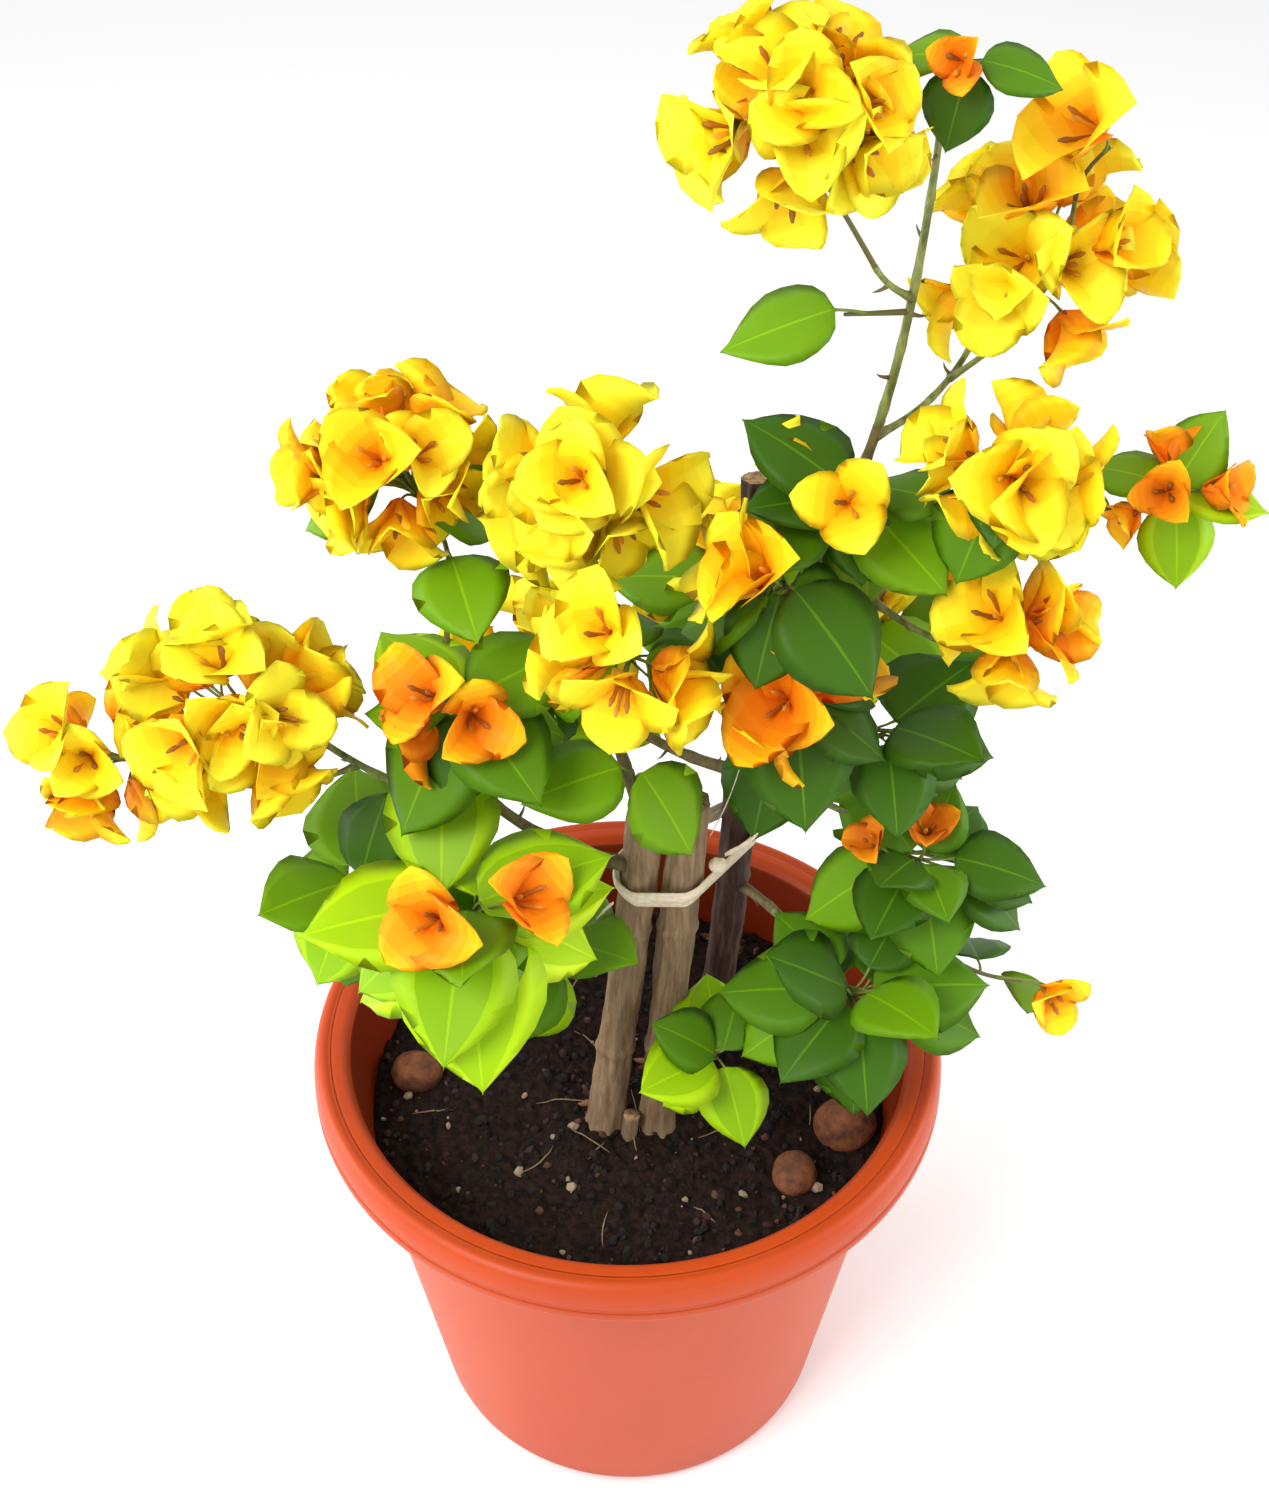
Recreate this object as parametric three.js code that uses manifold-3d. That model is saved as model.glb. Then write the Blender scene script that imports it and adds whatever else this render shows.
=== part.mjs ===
// Bougainvillea in a plastic pot: three canes tied with raffia, slender boughs that fork from them,
// and sprays of papery bracts and leaves. Millimetres, +Z up, origin at the centre of the pot's
// flat underside.

import * as THREE from 'three';
import { mergeVertices } from 'three/addons/utils/BufferGeometryUtils.js';
import Module from 'manifold-3d';

const wasm = await Module();
wasm.setup();

// ---- Driving dimensions ----

const GAP = 0.3; // clearance between solids that touch

const POT = {
  height: 200,
  rimRadius: 125,
  creaseRadius: 121,
  mouthRadius: 111,
  skirtRadius: 126.4,
  skirtDrop: 17.5,
  bodyTopRadius: 111.5,
  baseRadius: 84.5,
  baseBevel: 4,
  wall: 3,
  floor: 4,
  segments: 44,
};

const SOIL = { edge: 161, crown: 165, crownRadius: 70, segments: 28 };

const STONES = [
  { name: 'stone_right', x: 88, y: -22, size: [13, 12, 11] },
  { name: 'stone_front', x: 66, y: -46, size: [9, 10, 8] },
  { name: 'stone_left', x: -88, y: 6, size: [11, 9, 9] },
];
const STONE_SINK = 0.35; // share of a stone's half height that lies under the soil

const TIE = { height: 294, band: 5, thick: 1.6, steps: 30 };

// A limb runs from its foot, or from a point along the limb it grows on, to its tip. Its middle
// bows off the straight line by `bow`, and it tapers evenly between its two radii.
const LIMBS = [
  { name: 'cane_left', foot: [-11.3, -21.1, 140], tip: [7.5, -8, 324], bow: [0, 0, 0], radii: [7.3, 6.6] },
  { name: 'cane_front', foot: [9.7, -21.1, 140], tip: [23, -8, 329], bow: [0, 0, 0], radii: [7.4, 6.6] },
  { name: 'cane_dark', foot: [31, 20, 140], tip: [44, 30, 440], bow: [4, -9, 0], radii: [6.8, 5.4] },
  { name: 'bough_tall', on: 'cane_dark', at: 0.8, tip: [89, 0, 586], bow: [12, 5, -26], radii: [2.6, 1] },
  {
    name: 'bough_truss_left', on: 'bough_tall', at: 0.76, tip: [73, -3, 534], bow: [-1, 0, -1],
    radii: [1.1, 0.9],
  },
  {
    name: 'bough_truss_right', on: 'bough_tall', at: 0.54, tip: [112, 36, 488], bow: [3, 2, -5],
    radii: [1.3, 1],
  },
  {
    name: 'bough_single', on: 'bough_truss_right', at: 0.7, tip: [136, 27, 540], bow: [7, -6, 0],
    radii: [1, 0.8],
  },
  {
    name: 'bough_right', on: 'cane_dark', at: 0.74, tip: [104, -5, 442], bow: [2, 0, -2],
    radii: [2.3, 1.2],
  },
  {
    name: 'bough_right_out', on: 'bough_right', at: 0.8, tip: [154, 20, 433], bow: [0, 0, 3],
    radii: [1, 0.8],
  },
  {
    name: 'bough_right_under', on: 'bough_right', at: 0.6, tip: [114, -2, 393], bow: [2, 0, -4],
    radii: [1.3, 1],
  },
  {
    name: 'bough_right_mid', on: 'cane_dark', at: 0.58, tip: [88, -4, 312], bow: [0, 0, 5],
    radii: [1.8, 1.1],
  },
  {
    name: 'bough_right_low', on: 'cane_dark', at: 0.42, tip: [70, -22, 262], bow: [0, 0, 5],
    radii: [2.1, 1.3],
  },
  {
    name: 'bough_right_tip', on: 'bough_right_low', at: 0.8, tip: [126, -22, 258], bow: [0, 0, 7],
    radii: [1.1, 0.9],
  },
  { name: 'bough_mid', on: 'cane_dark', at: 0.86, tip: [51, -8, 424], bow: [0, 0, -4], radii: [1.8, 1.1] },
  {
    name: 'bough_centre', on: 'cane_left', at: 0.97, tip: [-10, 0, 438], bow: [-7, 5, 0],
    radii: [2.4, 1.2],
  },
  {
    name: 'bough_centre_low', on: 'bough_centre', at: 0.45, tip: [0, -18, 396], bow: [0, -4, -3],
    radii: [1.3, 1],
  },
  {
    name: 'bough_left', on: 'cane_left', at: 0.86, tip: [-60, -14, 350], bow: [-3, 0, -9],
    radii: [2.9, 1.5],
  },
  {
    name: 'bough_left_fork', on: 'bough_left', at: 0.88, tip: [-59, 2, 418], bow: [-4, 0, 0],
    radii: [1.4, 1],
  },
  {
    name: 'bough_far_left', on: 'bough_left', at: 0.8, tip: [-108, -16, 366], bow: [0, 0, -8],
    radii: [1.7, 1.1],
  },
  {
    name: 'bough_far_tip', on: 'bough_far_left', at: 0.75, tip: [-149, -10, 341], bow: [0, 0, -7],
    radii: [1.1, 0.9],
  },
  {
    name: 'bough_left_low', on: 'cane_left', at: 0.62, tip: [-40, -44, 296], bow: [0, -3, -6],
    radii: [2.2, 1.3],
  },
  {
    name: 'bough_left_side', on: 'bough_left_low', at: 0.6, tip: [-70, -28, 298], bow: [0, 0, -4],
    radii: [1.4, 1.1],
  },
  {
    name: 'bough_back_left', on: 'cane_dark', at: 0.6, tip: [-12, 56, 322], bow: [0, 0, -5],
    radii: [2.4, 1.5],
  },
  {
    name: 'bough_back_mid', on: 'cane_dark', at: 0.78, tip: [40, 68, 362], bow: [0, 0, -4],
    radii: [2.4, 1.5],
  },
  {
    name: 'bough_back_right', on: 'cane_dark', at: 0.64, tip: [80, 60, 350], bow: [0, 0, -5],
    radii: [2.4, 1.5],
  },
];

// A spray grows from a limb's tip, or from the side of a limb where `at` is given. Its blooms and
// leaves stand on a golden-angle spiral round its heart, which starts at the pole `face`; the
// leaves counted by `axils` stand along its stem instead.
const FRONT = [0, -0.6, 0.8];
const BACK = [0, 0.6, 0.8];
const SPRAYS = [
  {
    name: 'spray_tip', on: 'bough_tall', heart: [95, -2, 594], reach: [17, 12, 11],
    face: FRONT, blooms: 1, leaves: 3, axils: 1, bract: 13, leaf: 22,
  },
  {
    name: 'spray_shoot', on: 'bough_tall', at: 0.74, heart: [66, 2, 517], reach: [16, 12, 12],
    face: FRONT, blooms: 0, leaves: 1, axils: 0, bract: 20, leaf: 34,
  },
  {
    name: 'spray_truss_left', on: 'bough_truss_left', heart: [47, -16, 584], reach: [35, 28, 31],
    face: FRONT, blooms: 14, leaves: 0, axils: 0, bract: 24, leaf: 32,
  },
  {
    name: 'spray_truss_right', on: 'bough_truss_right', heart: [128, 32, 517], reach: [39, 30, 38],
    face: FRONT, blooms: 14, leaves: 0, axils: 0, bract: 26, leaf: 32,
  },
  {
    name: 'spray_single', on: 'bough_single', heart: [144, 24, 561], reach: [21, 18, 22],
    face: FRONT, blooms: 2, leaves: 0, axils: 0, bract: 28, leaf: 20,
  },
  {
    name: 'spray_right_upper', on: 'bough_right', heart: [118, -15, 470], reach: [29, 22, 26],
    face: FRONT, blooms: 5, leaves: 1, axils: 1, bract: 27, leaf: 32,
  },
  {
    name: 'spray_right_out', on: 'bough_right_out', heart: [183, 24, 438], reach: [23, 18, 23],
    face: FRONT, blooms: 1, leaves: 4, axils: 1, bract: 18, leaf: 28,
  },
  {
    name: 'spray_right_under', on: 'bough_right_under', heart: [127, -12, 409], reach: [23, 20, 26],
    face: FRONT, blooms: 4, leaves: 1, axils: 1, bract: 26, leaf: 36,
  },
  {
    name: 'spray_mid_low', on: 'cane_dark', at: 0.78, heart: [56, -24, 388], reach: [26, 20, 26],
    face: FRONT, blooms: 2, leaves: 3, axils: 1, bract: 29, leaf: 40,
  },
  {
    name: 'spray_mid', on: 'bough_mid', heart: [50, -26, 436], reach: [26, 20, 24],
    face: FRONT, blooms: 1, leaves: 3, axils: 0, bract: 32, leaf: 38,
  },
  {
    name: 'spray_mid_upper', on: 'cane_dark', at: 0.96, heart: [74, 4, 447], reach: [33, 26, 27],
    face: FRONT, blooms: 2, leaves: 7, axils: 0, bract: 24, leaf: 36,
  },
  {
    name: 'spray_right_leafy', on: 'cane_dark', at: 0.68, heart: [90, -9, 361], reach: [29, 26, 30],
    face: FRONT, blooms: 0, leaves: 7, axils: 1, bract: 18, leaf: 38,
  },
  {
    name: 'spray_right_mid', on: 'bough_right_mid', heart: [106, -14, 304], reach: [46, 28, 26],
    face: FRONT, blooms: 1, leaves: 8, axils: 1, bract: 16, leaf: 36,
  },
  {
    name: 'spray_right_low', on: 'bough_right_low', heart: [84, -38, 258], reach: [46, 34, 38],
    face: FRONT, blooms: 0, leaves: 10, axils: 1, bract: 18, leaf: 40,
  },
  {
    name: 'spray_right_tip', on: 'bough_right_tip', heart: [155, -22, 249], reach: [28, 14, 14],
    face: [0.9, -0.3, 0.2], blooms: 1, leaves: 1, axils: 1, bract: 20, leaf: 32,
  },
  {
    name: 'spray_crotch', on: 'cane_left', at: 0.94, heart: [2, -28, 361], reach: [24, 14, 12],
    face: FRONT, blooms: 0, leaves: 2, axils: 0, bract: 20, leaf: 34,
  },
  {
    name: 'spray_centre_top', on: 'bough_centre', heart: [-9, -4, 459], reach: [33, 26, 30],
    face: FRONT, blooms: 9, leaves: 1, axils: 1, bract: 28, leaf: 34,
  },
  {
    name: 'spray_centre_low', on: 'bough_centre_low', heart: [1, -38, 416], reach: [27, 24, 38],
    face: FRONT, blooms: 8, leaves: 1, axils: 1, bract: 26, leaf: 34,
  },
  {
    name: 'spray_left_truss', on: 'bough_left_fork', heart: [-73, 8, 458], reach: [37, 28, 29],
    face: FRONT, blooms: 10, leaves: 3, axils: 1, bract: 25, leaf: 38,
  },
  {
    name: 'spray_left_small', on: 'bough_left', heart: [-54, -28, 388], reach: [32, 24, 26],
    face: FRONT, blooms: 1, leaves: 4, axils: 1, bract: 22, leaf: 42,
  },
  {
    name: 'spray_far_left', on: 'bough_far_left', heart: [-132, -22, 380], reach: [40, 32, 40],
    face: FRONT, blooms: 14, leaves: 0, axils: 1, bract: 27, leaf: 34,
  },
  {
    name: 'spray_far_tip', on: 'bough_far_tip', heart: [-183, -12, 355], reach: [26, 24, 34],
    face: FRONT, blooms: 6, leaves: 0, axils: 0, bract: 24, leaf: 30,
  },
  {
    name: 'spray_left_low', on: 'bough_left_low', heart: [-54, -62, 326], reach: [44, 34, 38],
    face: FRONT, blooms: 2, leaves: 7, axils: 0, bract: 24, leaf: 50,
  },
  {
    name: 'spray_left_side', on: 'bough_left_side', heart: [-95, -26, 304], reach: [34, 28, 34],
    face: FRONT, blooms: 0, leaves: 5, axils: 1, bract: 20, leaf: 44,
  },
  {
    name: 'spray_left_inner', on: 'cane_left', at: 0.72, heart: [-26, -28, 274], reach: [30, 24, 32],
    face: FRONT, blooms: 0, leaves: 5, axils: 0, bract: 20, leaf: 36,
  },
  {
    name: 'spray_base', on: 'cane_front', at: 0.42, heart: [35, -44, 230], reach: [30, 18, 20],
    face: FRONT, blooms: 0, leaves: 4, axils: 0, bract: 20, leaf: 34,
  },
  {
    name: 'spray_back_left', on: 'bough_back_left', heart: [-34, 80, 312], reach: [44, 38, 36],
    face: BACK, blooms: 4, leaves: 7, axils: 1, bract: 28, leaf: 44,
  },
  {
    name: 'spray_back_mid', on: 'bough_back_mid', heart: [40, 92, 352], reach: [38, 36, 34],
    face: BACK, blooms: 5, leaves: 6, axils: 1, bract: 28, leaf: 44,
  },
  {
    name: 'spray_back_right', on: 'bough_back_right', heart: [98, 80, 340], reach: [46, 38, 38],
    face: BACK, blooms: 3, leaves: 7, axils: 1, bract: 28, leaf: 44,
  },
];

const CANE = { steps: 6, sides: 8 };
const BOUGH = { steps: 4, sides: 5 };
const GOLDEN = THREE.MathUtils.degToRad(137.5);
const COVER = 0.55; // how far past the heart's equator the spiral of a spray goes
const STAGGER = 0.2; // share of the reach by which the deepest blooms stand behind the outline
const GOLDEN_PART = 0.618; // deals the depths out evenly along the spiral
const STARTS = 8; // starting turns that a spray is tried at, of which the fullest is kept
const BLOOM_WORTH = 2; // leaves that a bloom counts for when the fullest is chosen
// A leaf's outline is given as shares of its length and width, from one shoulder round its tip to
// the other, and `middle` is where it is thickest.
const LEAF = {
  outline: [[0.26, 0.5], [0.62, 0.4], [1, 0], [0.62, -0.4], [0.26, -0.5]],
  middle: 0.44,
  width: 0.76,
  cup: 0.1,
  bend: -0.14,
  thick: 1.2,
  droop: 0.45,
};
// A bloom's bracts lean out from its axis by `opening`. Each lobe of its rim has three corners,
// given as a turn from the lobe's tip, a share of its length, and a lift.
const BLOOM = {
  opening: THREE.MathUtils.degToRad(50),
  lobe: [[-0.66, 0.84, 0.06], [0, 1, 0], [0.66, 0.84, 0.06]],
  thick: 1.2,
};
const TWIG = { root: 0.9, end: 0.7 };
const ROOT_SINK = 0.3; // how far past the stem's axis a stalk's root starts
const PETIOLE = 7; // length of the stalk of a leaf that stands on the stem
const STEM = { end: 0.9, side: 1.6, steps: 4, sides: 5 };
const SIDE_SHARE = 0.8; // a stem on a limb's side is at most this share of the limb there
const CLEAR = 5.2; // least distance between sample points of neighbouring sprays
const CLEAR_OWN = 4.2; // and of the blades of one spray
const TURNS = [0, 0.5, -0.5, 1.0, -1.0, 1.6]; // tries, in radians, before a twig is skipped

// ---- Small vector helpers ----

const vec = (list) => new THREE.Vector3(list[0], list[1], list[2]);
const along = (start, direction, distance) => start.clone().addScaledVector(direction, distance);
const mix = (a, b, share) => a + (b - a) * share;

function seededRandom(seed) {
  let state = seed >>> 0;
  return () => {
    state = (Math.imul(state, 1664525) + 1013904223) >>> 0;
    return state / 4294967296;
  };
}

// Two directions square to `axis` and to each other.
function squareTo(axis) {
  const reference = Math.abs(axis.z) < 0.9 ? new THREE.Vector3(0, 0, 1) : new THREE.Vector3(1, 0, 0);
  const side = new THREE.Vector3().crossVectors(axis, reference).normalize();
  const rise = new THREE.Vector3().crossVectors(axis, side);
  return [side, rise];
}

// ---- Solids ----

function solidOf(vertices, triangles) {
  return new wasm.Manifold(
    new wasm.Mesh({
      numProp: 3,
      vertProperties: new Float32Array(vertices.flatMap((v) => [v.x, v.y, v.z])),
      triVerts: new Uint32Array(triangles.flat()),
    }),
  );
}

function solidOfGeometry(source) {
  const geometry = source.clone();
  geometry.deleteAttribute('normal');
  geometry.deleteAttribute('uv');
  const merged = mergeVertices(geometry, 0.001);
  return new wasm.Manifold(
    new wasm.Mesh({
      numProp: 3,
      vertProperties: new Float32Array(merged.attributes.position.array),
      triVerts: new Uint32Array(merged.index.array),
    }),
  );
}

// Joins solids into one body. A sealed hollow is filled and a loose scrap is dropped.
function fused(solids) {
  const bodies = wasm.Manifold.union(solids).decompose();
  return bodies.reduce((largest, body) => (body.volume() > largest.volume() ? body : largest));
}

function geometryOf(solid) {
  const mesh = solid.getMesh();
  const geometry = new THREE.BufferGeometry();
  geometry.setAttribute('position', new THREE.BufferAttribute(new Float32Array(mesh.vertProperties), 3));
  geometry.setIndex(new THREE.BufferAttribute(new Uint32Array(mesh.triVerts), 1));
  return geometry;
}

// A closed tube through `points`, with one ring of `sides` corners at each.
function tube(points, radii, sides) {
  const vertices = [];
  const triangles = [];
  const last = points.length - 1;
  let [side] = squareTo(points[1].clone().sub(points[0]).normalize());
  points.forEach((point, i) => {
    const ahead = points[Math.min(i + 1, last)];
    const behind = points[Math.max(i - 1, 0)];
    const axis = ahead.clone().sub(behind).normalize();
    side = along(side, axis, -side.dot(axis)).normalize();
    const rise = new THREE.Vector3().crossVectors(axis, side);
    for (let k = 0; k < sides; k += 1) {
      const angle = (2 * Math.PI * k) / sides;
      const spoke = side.clone().multiplyScalar(Math.cos(angle)).addScaledVector(rise, Math.sin(angle));
      vertices.push(along(point, spoke, radii[i]));
    }
  });
  for (let i = 0; i < last; i += 1) {
    for (let k = 0; k < sides; k += 1) {
      const a = i * sides + k;
      const b = i * sides + ((k + 1) % sides);
      triangles.push([a, b, b + sides], [a, b + sides, a + sides]);
    }
  }
  for (let k = 1; k < sides - 1; k += 1) {
    const top = last * sides;
    triangles.push([0, k + 1, k], [top, top + k, top + k + 1]);
  }
  return solidOf(vertices, triangles);
}

// The three corners of a stalk round `point`, square to `axis`, the first of them towards `up`.
function stalkRing(point, axis, up, radius) {
  const rise = along(up, axis, -up.dot(axis)).normalize();
  const side = new THREE.Vector3().crossVectors(axis, rise);
  return [0, 1, 2].map((k) => {
    const angle = (k * 2 * Math.PI) / 3;
    return along(along(point, rise, radius * Math.cos(angle)), side, radius * Math.sin(angle));
  });
}

// A stalk's root end and its three sides: corners 0 to 2 at the root, 3 to 5 where it opens out.
const STALK_FACES = [[0, 2, 1], [0, 1, 4], [0, 4, 3], [1, 2, 5], [1, 5, 4], [2, 0, 3], [2, 3, 5]];

// A leaf on its stalk: the stalk opens into a pointed blade with cupped edges and a bent tip.
function leafOnStalk(root, base, direction, normal, length) {
  const stalk = base.clone().sub(root).normalize();
  const side = new THREE.Vector3().crossVectors(direction, normal).normalize();
  const place = (l, w, lift) => {
    const height = LEAF.cup * Math.abs(w) * 2 + LEAF.bend * l * l;
    const point = along(along(base, direction, l * length), side, w * LEAF.width * length);
    return along(point, normal, height * length + lift);
  };
  const vertices = [
    ...stalkRing(root, stalk, normal, TWIG.root),
    ...stalkRing(base, direction, normal, TWIG.end),
    ...LEAF.outline.map(([l, w]) => place(l, w, 0)),
    place(LEAF.middle, 0, LEAF.thick / 2),
    place(LEAF.middle, 0, -LEAF.thick / 2),
  ];
  const [top, under] = [11, 12];
  const upperEdge = [3, 6, 7, 8, 9, 10];
  const lowerEdge = [5, 4, 6, 7, 8, 9, 10];
  const triangles = [...STALK_FACES, [3, 4, 6], [3, 10, 5]];
  upperEdge.forEach((corner, k) => triangles.push([corner, upperEdge[(k + 1) % 6], top]));
  lowerEdge.forEach((corner, k) => triangles.push([lowerEdge[(k + 1) % 7], corner, under]));
  const samples = [];
  [0.12, 0.28, 0.44, 0.6, 0.76, 0.9, 1].forEach((l) => {
    const half = l < 0.28 ? l / 0.56 : mix(0.5, 0, (l - 0.28) / 0.72);
    [-1, -0.5, 0, 0.5, 1].forEach((w) => samples.push(place(l, w * half, 0)));
  });
  return { vertices, triangles, samples };
}

// A bloom on its stalk: three bracts as one three-lobed cup round `axis`, each lobe with a tip
// and two shoulders.
function bloomOnStalk(root, base, axis, spin, size) {
  const stalk = base.clone().sub(root).normalize();
  const [side, rise] = squareTo(axis);
  const spokeAt = (angle) => {
    const spoke = side.clone().multiplyScalar(Math.cos(angle));
    return spoke.addScaledVector(rise, Math.sin(angle));
  };
  const rim = [];
  for (let k = 0; k < 3; k += 1) {
    BLOOM.lobe.forEach(([turn, length, lift]) => {
      const out = Math.sin(BLOOM.opening) * length * size;
      const up = (Math.cos(BLOOM.opening) * length + lift) * size;
      const angle = spin + (k * 2 * Math.PI) / 3 + turn;
      rim.push(along(along(base, axis, up), spokeAt(angle), out));
    });
  }
  const samples = rim.flatMap((corner, k) => {
    const middle = corner.clone().lerp(rim[(k + 1) % rim.length], 0.5);
    return [0.4, 0.7, 1].flatMap((share) => [corner, middle].map((end) => base.clone().lerp(end, share)));
  });
  const vertices = [
    ...stalkRing(root, stalk, spokeAt(spin), TWIG.root),
    ...stalkRing(base, axis, spokeAt(spin), TWIG.end),
    ...rim,
    along(base, axis, BLOOM.thick),
  ];
  const throat = vertices.length - 1;
  const triangles = [...STALK_FACES];
  for (let corner = 0; corner < 9; corner += 1) {
    const lobe = Math.floor(corner / 3);
    const next = (corner + 1) % 9;
    triangles.push([6 + corner, 6 + next, throat], [6 + next, 6 + corner, 3 + lobe]);
    if (corner % 3 === 2) triangles.push([3 + lobe, 3 + ((lobe + 1) % 3), 6 + next]);
  }
  return { vertices, triangles, samples };
}

// ---- Limbs ----

const limbs = new Map();

function curveOf(start, tip, bow) {
  const middle = start.clone().add(tip).multiplyScalar(0.5);
  return new THREE.QuadraticBezierCurve3(start, along(middle, bow, 2), tip);
}

function growLimb(row) {
  const parent = limbs.get(row.on);
  const start = parent ? parent.curve.getPoint(row.at) : vec(row.foot);
  const curve = curveOf(start, vec(row.tip), vec(row.bow));
  const { steps, sides } = parent ? BOUGH : CANE;
  const points = curve.getPoints(steps);
  const radii = points.map((_, i) => mix(row.radii[0], row.radii[1], i / steps));
  const grown = tube(points, radii.map((radius) => radius + GAP), sides);
  let solid = tube(points, radii, sides);
  if (parent) solid = fused([solid.subtract(parent.grown)]);
  limbs.set(row.name, { curve, radii: row.radii, grown, solid });
}

function limbSamples(curve, radii) {
  const count = Math.ceil(curve.getLength() / 3);
  const samples = [];
  for (let i = 0; i <= count; i += 1) {
    samples.push({ point: curve.getPoint(i / count), radius: mix(radii[0], radii[1], i / count) });
  }
  return samples;
}

// ---- Sprays ----

const taken = []; // sample points that a new twig or leaf keeps clear of: { owner, point, radius }

function isClear(owner, samples) {
  return samples.every((sample) =>
    taken.every((other) => {
      const distance = sample.distanceTo(other.point);
      if (other.owner === owner) return other.radius > 0 || distance > CLEAR_OWN;
      return distance > (other.radius ? other.radius + CLEAR / 2 : CLEAR);
    }),
  );
}

function startSpray(row) {
  const limb = limbs.get(row.on);
  const heart = vec(row.heart);
  const onSide = row.at !== undefined;
  const tangent = limb.curve.getTangent(1);
  const start = onSide ? limb.curve.getPoint(row.at) : along(limb.curve.getPoint(1), tangent, GAP);
  const face = vec(row.face).normalize();
  const hub = along(heart, face, -0.25 * Math.min(...row.reach));
  const span = hub.distanceTo(start);
  const first = onSide ? hub.clone().sub(start).normalize() : tangent;
  const curve = new THREE.QuadraticBezierCurve3(start, along(start, first, span * 0.45), hub);
  const limbThere = mix(limb.radii[0], limb.radii[1], onSide ? row.at : 1);
  const radii = [onSide ? Math.min(STEM.side, SIDE_SHARE * limbThere) : limbThere, STEM.end];
  const { steps, sides } = STEM;
  const points = curve.getPoints(steps);
  const widths = points.map((_, i) => mix(radii[0], radii[1], i / steps));
  if (!onSide) points.splice(1, 0, along(start, tangent, 0.8));
  if (!onSide) widths.splice(1, 0, radii[0]);
  let solid = tube(points, widths, sides);
  if (onSide) solid = solid.subtract(limb.grown);
  return { row, heart, face, curve, radii, stem: solid, shapes: [], worth: 0 };
}

// A leaf's blade hangs a little from its stalk, with its upper face to the sky.
function hangLeaf(root, base, outward, size) {
  const direction = along(outward, new THREE.Vector3(0, 0, -1), LEAF.droop).normalize();
  const sky = along(new THREE.Vector3(0, -0.3, 0.95), outward, 0.3);
  const normal = along(sky, direction, -sky.dot(direction)).normalize();
  return leafOnStalk(root, base, direction, normal, size);
}

// Adds a stalk with its leaf or bloom to the spray, unless it would touch something.
function attach(spray, share, base, worth, grow) {
  const owner = spray.row.name;
  const onStem = spray.curve.getPoint(share);
  const root = along(onStem, base.clone().sub(onStem).normalize(), -ROOT_SINK);
  const shape = grow(root);
  const stalk = [0.3, 0.5, 0.7, 0.9].map((s) => onStem.clone().lerp(base, s));
  if (!isClear(owner, shape.samples) || !isClear(owner, stalk)) return false;
  spray.shapes.push(shape);
  spray.worth += worth;
  shape.samples.forEach((point) => taken.push({ owner, point, radius: 0 }));
  stalk.forEach((point) => taken.push({ owner, point, radius: TWIG.root }));
  return true;
}

function growAt(spray, index, turn) {
  const { row, heart, face } = spray;
  const random = seededRandom(7919 * (index + 1));
  const [side, rise] = squareTo(face);
  const total = row.blooms + row.leaves;
  for (let i = 0; i < total; i += 1) {
    const isBloom = i < row.blooms;
    const level = 1 - ((1 + COVER) * (i + 0.5)) / total;
    const ring = Math.sqrt(1 - level * level);
    const spin = random() * 2 * Math.PI;
    const size = (isBloom ? row.bract : row.leaf) * mix(0.88, 1.12, random());
    const share = mix(isBloom ? 0.6 : 0.35, 1, (level + COVER) / (1 + COVER));
    const depth = 1 - STAGGER * ((i * GOLDEN_PART) % 1);
    TURNS.some((extra) => {
      const angle = turn + i * GOLDEN + extra;
      const outward = face.clone().multiplyScalar(level);
      outward.addScaledVector(side, ring * Math.cos(angle)).addScaledVector(rise, ring * Math.sin(angle));
      const reach = outward.clone().multiply(vec(row.reach));
      const drawn = size * (isBloom ? Math.cos(BLOOM.opening) : 0.8);
      const base = along(heart, reach, depth * Math.max(1 - drawn / reach.length(), 0.2));
      return attach(spray, share, base, isBloom ? BLOOM_WORTH : 1, (root) =>
        isBloom ? bloomOnStalk(root, base, outward, spin, size) : hangLeaf(root, base, outward, size),
      );
    });
  }
  for (let j = 0; j < row.axils; j += 1) {
    const share = (0.7 * (j + 0.4)) / row.axils;
    const [out, up] = squareTo(spray.curve.getTangent(share));
    const size = row.leaf * mix(0.88, 1.12, random());
    TURNS.some((extra) => {
      const angle = turn + Math.PI + j * GOLDEN + extra;
      const outward = out.clone().multiplyScalar(Math.cos(angle)).addScaledVector(up, Math.sin(angle));
      const base = along(spray.curve.getPoint(share), outward, PETIOLE);
      return attach(spray, share, base, 1, (root) => hangLeaf(root, base, outward, size));
    });
  }
}

// Grows a spray at each starting turn, and keeps the fullest of them.
function growSpray(spray, index) {
  const before = taken.length;
  let fullest = { worth: -1 };
  for (let k = 0; k < STARTS; k += 1) {
    taken.length = before;
    Object.assign(spray, { shapes: [], worth: 0 });
    growAt(spray, index, (k * 2 * Math.PI) / STARTS);
    if (spray.worth > fullest.worth) {
      fullest = { shapes: spray.shapes, worth: spray.worth, samples: taken.slice(before) };
    }
  }
  taken.length = before;
  taken.push(...fullest.samples);
  spray.shapes = fullest.shapes;
}

// ---- Pot, soil, stones and tie ----

function wallRadius(z) {
  return mix(POT.baseRadius, POT.bodyTopRadius, z / (POT.height - POT.skirtDrop));
}

function lathe(outline, segments) {
  const geometry = new THREE.LatheGeometry(outline.map(([r, z]) => new THREE.Vector2(r, z)), segments);
  return solidOfGeometry(geometry.rotateX(Math.PI / 2));
}

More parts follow.
